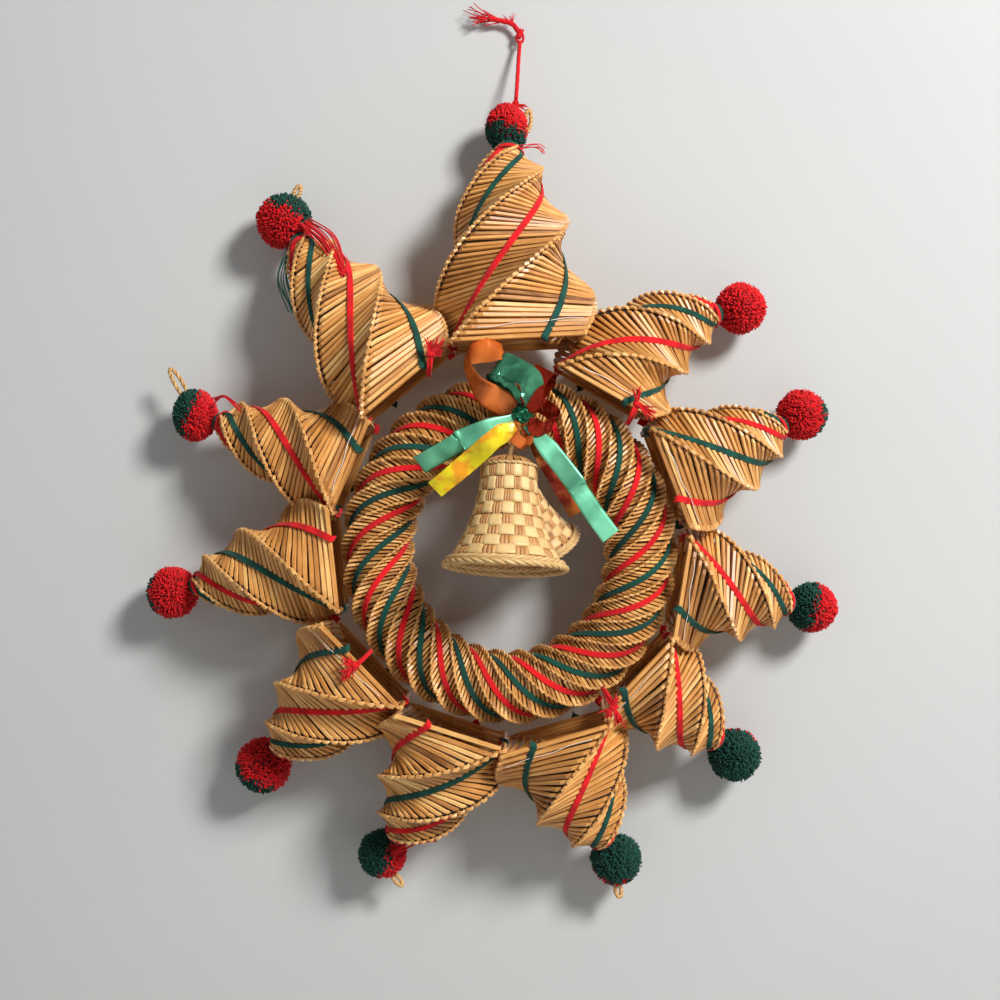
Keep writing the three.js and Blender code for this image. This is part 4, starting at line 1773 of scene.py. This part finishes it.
def build_bow_knot(shop: Workshop, rng: np.random.Generator) -> None:
    """The knot: short foil turns wound round it and gathered, crossing and crumpled.

    Args:
        shop: the workshop that makes the pieces.
        rng: the seeded draws.
    """
    centre = node_centre("bow_knot")
    steps, radius = 36, 5.4 * MM
    angle = TAU * np.arange(steps)[:, None] / steps
    turns = []
    for tilt in (15, 75, 130):
        path = centre + radius * (np.cos(angle) * heading(tilt) - np.sin(angle) * FRONT)
        side = np.broadcast_to(heading(tilt + 90), (1, steps, 3))
        up = unit(path - centre)[None]
        shell = sweep(path[None], side, up, flat_outline(7), 4.2 * MM, 0.1 * MM, closed=True)
        shell.points += rng.normal(0, 0.5 * MM, shell.points.shape)
        turns.append(shell)
    shop.piece("bow_knot_turns", Shell.joined(turns), DEEP_GREEN_FOIL, ("bow_knot",), smooth=False)


# ---- stage ----------------------------------------------------------------------------


@dataclass(frozen=True)
class SoftLight:
    """A square lamp aimed at the ornament: its place, side in metres and power in watts."""

    name: str
    place: Place
    size: float
    power: float

    def build(self, aim: Place) -> None:
        """Makes the lamp.

        Args:
            aim: the place that it looks at.
        """
        data = bpy.data.lights.new(self.name, "AREA")
        data.size = self.size
        data.energy = self.power
        light = placed(self.name, data)
        light.location = self.place
        look = Vector(aim) - Vector(self.place)
        light.rotation_euler = look.to_track_quat("-Z", "Y").to_euler()


LIGHTS = (
    SoftLight("key", (1.15, -1.55, 0.75), 0.5, 67),
    SoftLight("fill", (-1.5, -1.8, 0.1), 1.6, 3),
    SoftLight("behind", (0.6, 1.8, 0.3), 1.6, 20),
)


@dataclass(frozen=True)
class Studio:
    """The camera, the pale wall and floor, and the soft light."""

    camera_place: Place = (-0.0142, -1.05, -0.3325)
    half_width: float = 0.34
    sensor: float = 36
    wall: int = 0xB2B3B2
    wall_patch: int = 0xBEBEBB
    wall_depth: float = 0.001
    floor_height: float = -0.8
    reach: float = 4
    aim: Place = (0, -0.05, -0.35)
    sky: tuple[float, float, float, float] = (0.9, 0.94, 1.0, 1)
    sky_strength: float = 0.23

    def set_camera(self) -> None:
        """A level camera square to the wall; half_width is its view's at a metre."""
        data = bpy.data.cameras.new("camera")
        data.sensor_width = self.sensor
        data.lens = self.sensor / 2 / self.half_width
        camera = placed("camera", data)
        camera.location = self.camera_place
        camera.rotation_euler = (math.pi / 2, 0, 0)
        bpy.context.scene.camera = camera

    def _sheet(self, name: str, corners: list[Place]) -> bpy.types.Object:
        """A one-sided painted sheet, clear from behind so that the ornament's back can be seen.

        Args:
            name: its name.
            corners: its four corners, anticlockwise from its front.

        Returns:
            The sheet.
        """
        tree = Tree(name)
        mottle = tree.noise(2.2, 2)
        colour = tree.mix(mottle, linear(self.wall), linear(self.wall_patch))
        paint = tree.add("ShaderNodeBsdfDiffuse", {}, {"Color": colour})
        clear = tree.add("ShaderNodeBsdfTransparent")
        reverse = tree.add("ShaderNodeNewGeometry", out="Backfacing")
        both = tree.add("ShaderNodeMixShader", {}, {0: reverse, 1: paint, 2: clear})
        tree.add("ShaderNodeOutputMaterial", {}, {"Surface": both})
        mesh = bpy.data.meshes.new(name)
        mesh.from_pydata(corners, [], [(0, 1, 2, 3)])
        mesh.materials.append(tree.material)
        sheet = placed(name, mesh)
        return sheet

    def set_stage(self) -> None:
        """The wall, the floor and the lights."""
        square = [(x * self.reach, y * self.reach) for x, y in ((-1, -1), (1, -1), (1, 1), (-1, 1))]
        wall = self._sheet("wall", [(x, self.wall_depth, z) for x, z in square])
        wall.visible_shadow = False
        self._sheet("floor", [(x, y, self.floor_height) for x, y in square])
        for light in LIGHTS:
            light.build(self.aim)
        world = bpy.data.worlds.new("studio")
        world.use_nodes = True
        background = world.node_tree.nodes["Background"]
        background.inputs["Color"].default_value = self.sky
        background.inputs["Strength"].default_value = self.sky_strength
        bpy.context.scene.world = world
        bpy.context.scene.view_settings.view_transform = "Standard"


# ---- the ornament ---------------------------------------------------------------------

HORNS = (
    HornPlait(1, 88, 137 * MM, 93, 88 * MM, GREEN),
    HornPlait(2, 59, 122 * MM, 61, 72 * MM, GREEN),
    HornPlait(3, 24.5, 115.5 * MM, 21, 71 * MM, RED),
    HornPlait(4, -12, 115.5 * MM, -9, 69 * MM, GREEN),
    HornPlait(5, -44, 117.5 * MM, -43, 68 * MM, GREEN),
    HornPlait(6, -76, 126 * MM, -74, 76 * MM, GREEN),
    HornPlait(7, -108, 123.5 * MM, -107, 76 * MM, RED, False),
    HornPlait(8, -142, 121 * MM, -136, 76 * MM, GREEN),
    HornPlait(9, -177, 115.5 * MM, -174, 70 * MM, RED, False),
    HornPlait(10, 152.5, 117.5 * MM, 158, 66 * MM, GREEN),
    HornPlait(11, 121.5, 130 * MM, 130, 76 * MM, GREEN, False),
)

POMPOMS = (
    Pompom(1, (-0.25, 0, -1), 0.02, 1.0, (0.93, 0.95, 1.1)),
    Pompom(2, (0.4, 0.9, 0.2), 0.75),
    Pompom(3, (1, 0.45, 0), 0.5, 0.96),
    Pompom(4, (-1, 0, 0.25), 0.0, 0.95),
    Pompom(5, (-0.5, -0.8, -0.4), -0.62, 1.0),
    Pompom(6, (0.1, -0.4, 0.9), -0.55, 0.97),
    Pompom(7, (-1, -0.2, 0.3), -0.15, 0.92),
    Pompom(8, (-0.5, 0.1, -0.8), 0.42, 1.05),
    Pompom(9, (-1, 0.3, -0.2), 0.6, 0.98),
    Pompom(10, (-1, 0, 0.35), 0.15, 0.93, (0.92, 1, 1.08)),
    Pompom(11, (0.45, 0.2, 0.85), 0.22, 1.06),
)

BELLS = (
    Bell("bell_front", (-8, -96, -307), 11, -2.5, 1.03),
    Bell("bell_back", (-9, -56, -313), -20, 18, 0.85),
)

TUFTS = (
    Tuft(2, -115, ((85, 10), (-38, 15))),
    Tuft(5, 120, ((78, 8), (215, 9), (-70, 12))),
    Tuft(8, 42, ((150, 9), (228, 13))),
    Tuft(11, -98, ((98, 10), (50, 13), (8, 9))),
)

EYES = (
    TipEye(1, 85, 15, 4, (-6.5, 1)), TipEye(6, -80, 9, 4, (0, 2)), TipEye(7, -50, 10, 4, (-2, 3)),
    TipEye(10, 120, 24, 5.2, (0.5, -1)), TipEye(11, 66, 10, 4, (-1, -2)),
)

STRAYS = (
    Strays(11, "red", RED, (16, -15, -3), (34, -33, -20), (47, -45, -44), 14, (3, 5.5, 1.2), 0.5),
    Strays(11, "green", LOOSE_GREEN, (5, -8, -18), (1, -7, -42), (8, -6, -64), 8, (2, 5, 4)),
    Strays(10, "red", RED, (15, -14, 9), (24, -20, 12), (36, -28, 2), 5, (0.8, 1.2, 0.8), 0.5),
    Strays(1, "red", RED, (8, -8, -15), (20, -9, -14), (26, -8, -17), 5, (0.5, 1, 2.5), 0.3),
    Strays(7, "red", RED, (8, -15, 3), (24, -20, 12), (38, -22, 14), 5, (1, 2.5, 1), 0.45),
)


def main() -> None:
    logging.basicConfig(level=logging.INFO, format="%(name)s %(message)s")
    rng = np.random.default_rng(SEED)
    studio = Studio()
    shop = Workshop()
    studio.set_camera()
    Hanger().build(shop, rng)
    RingPlait().build(shop, rng)
    for part in (*HORNS, *POMPOMS, *TUFTS, *STRAYS, *BELLS, *BOW):
        part.build(shop, rng)
    for eye in EYES:
        eye.build(shop)
    build_bow_knot(shop, rng)
    studio.set_stage()
    bpy.context.view_layer.update()


if __name__ == "__main__":
    main()
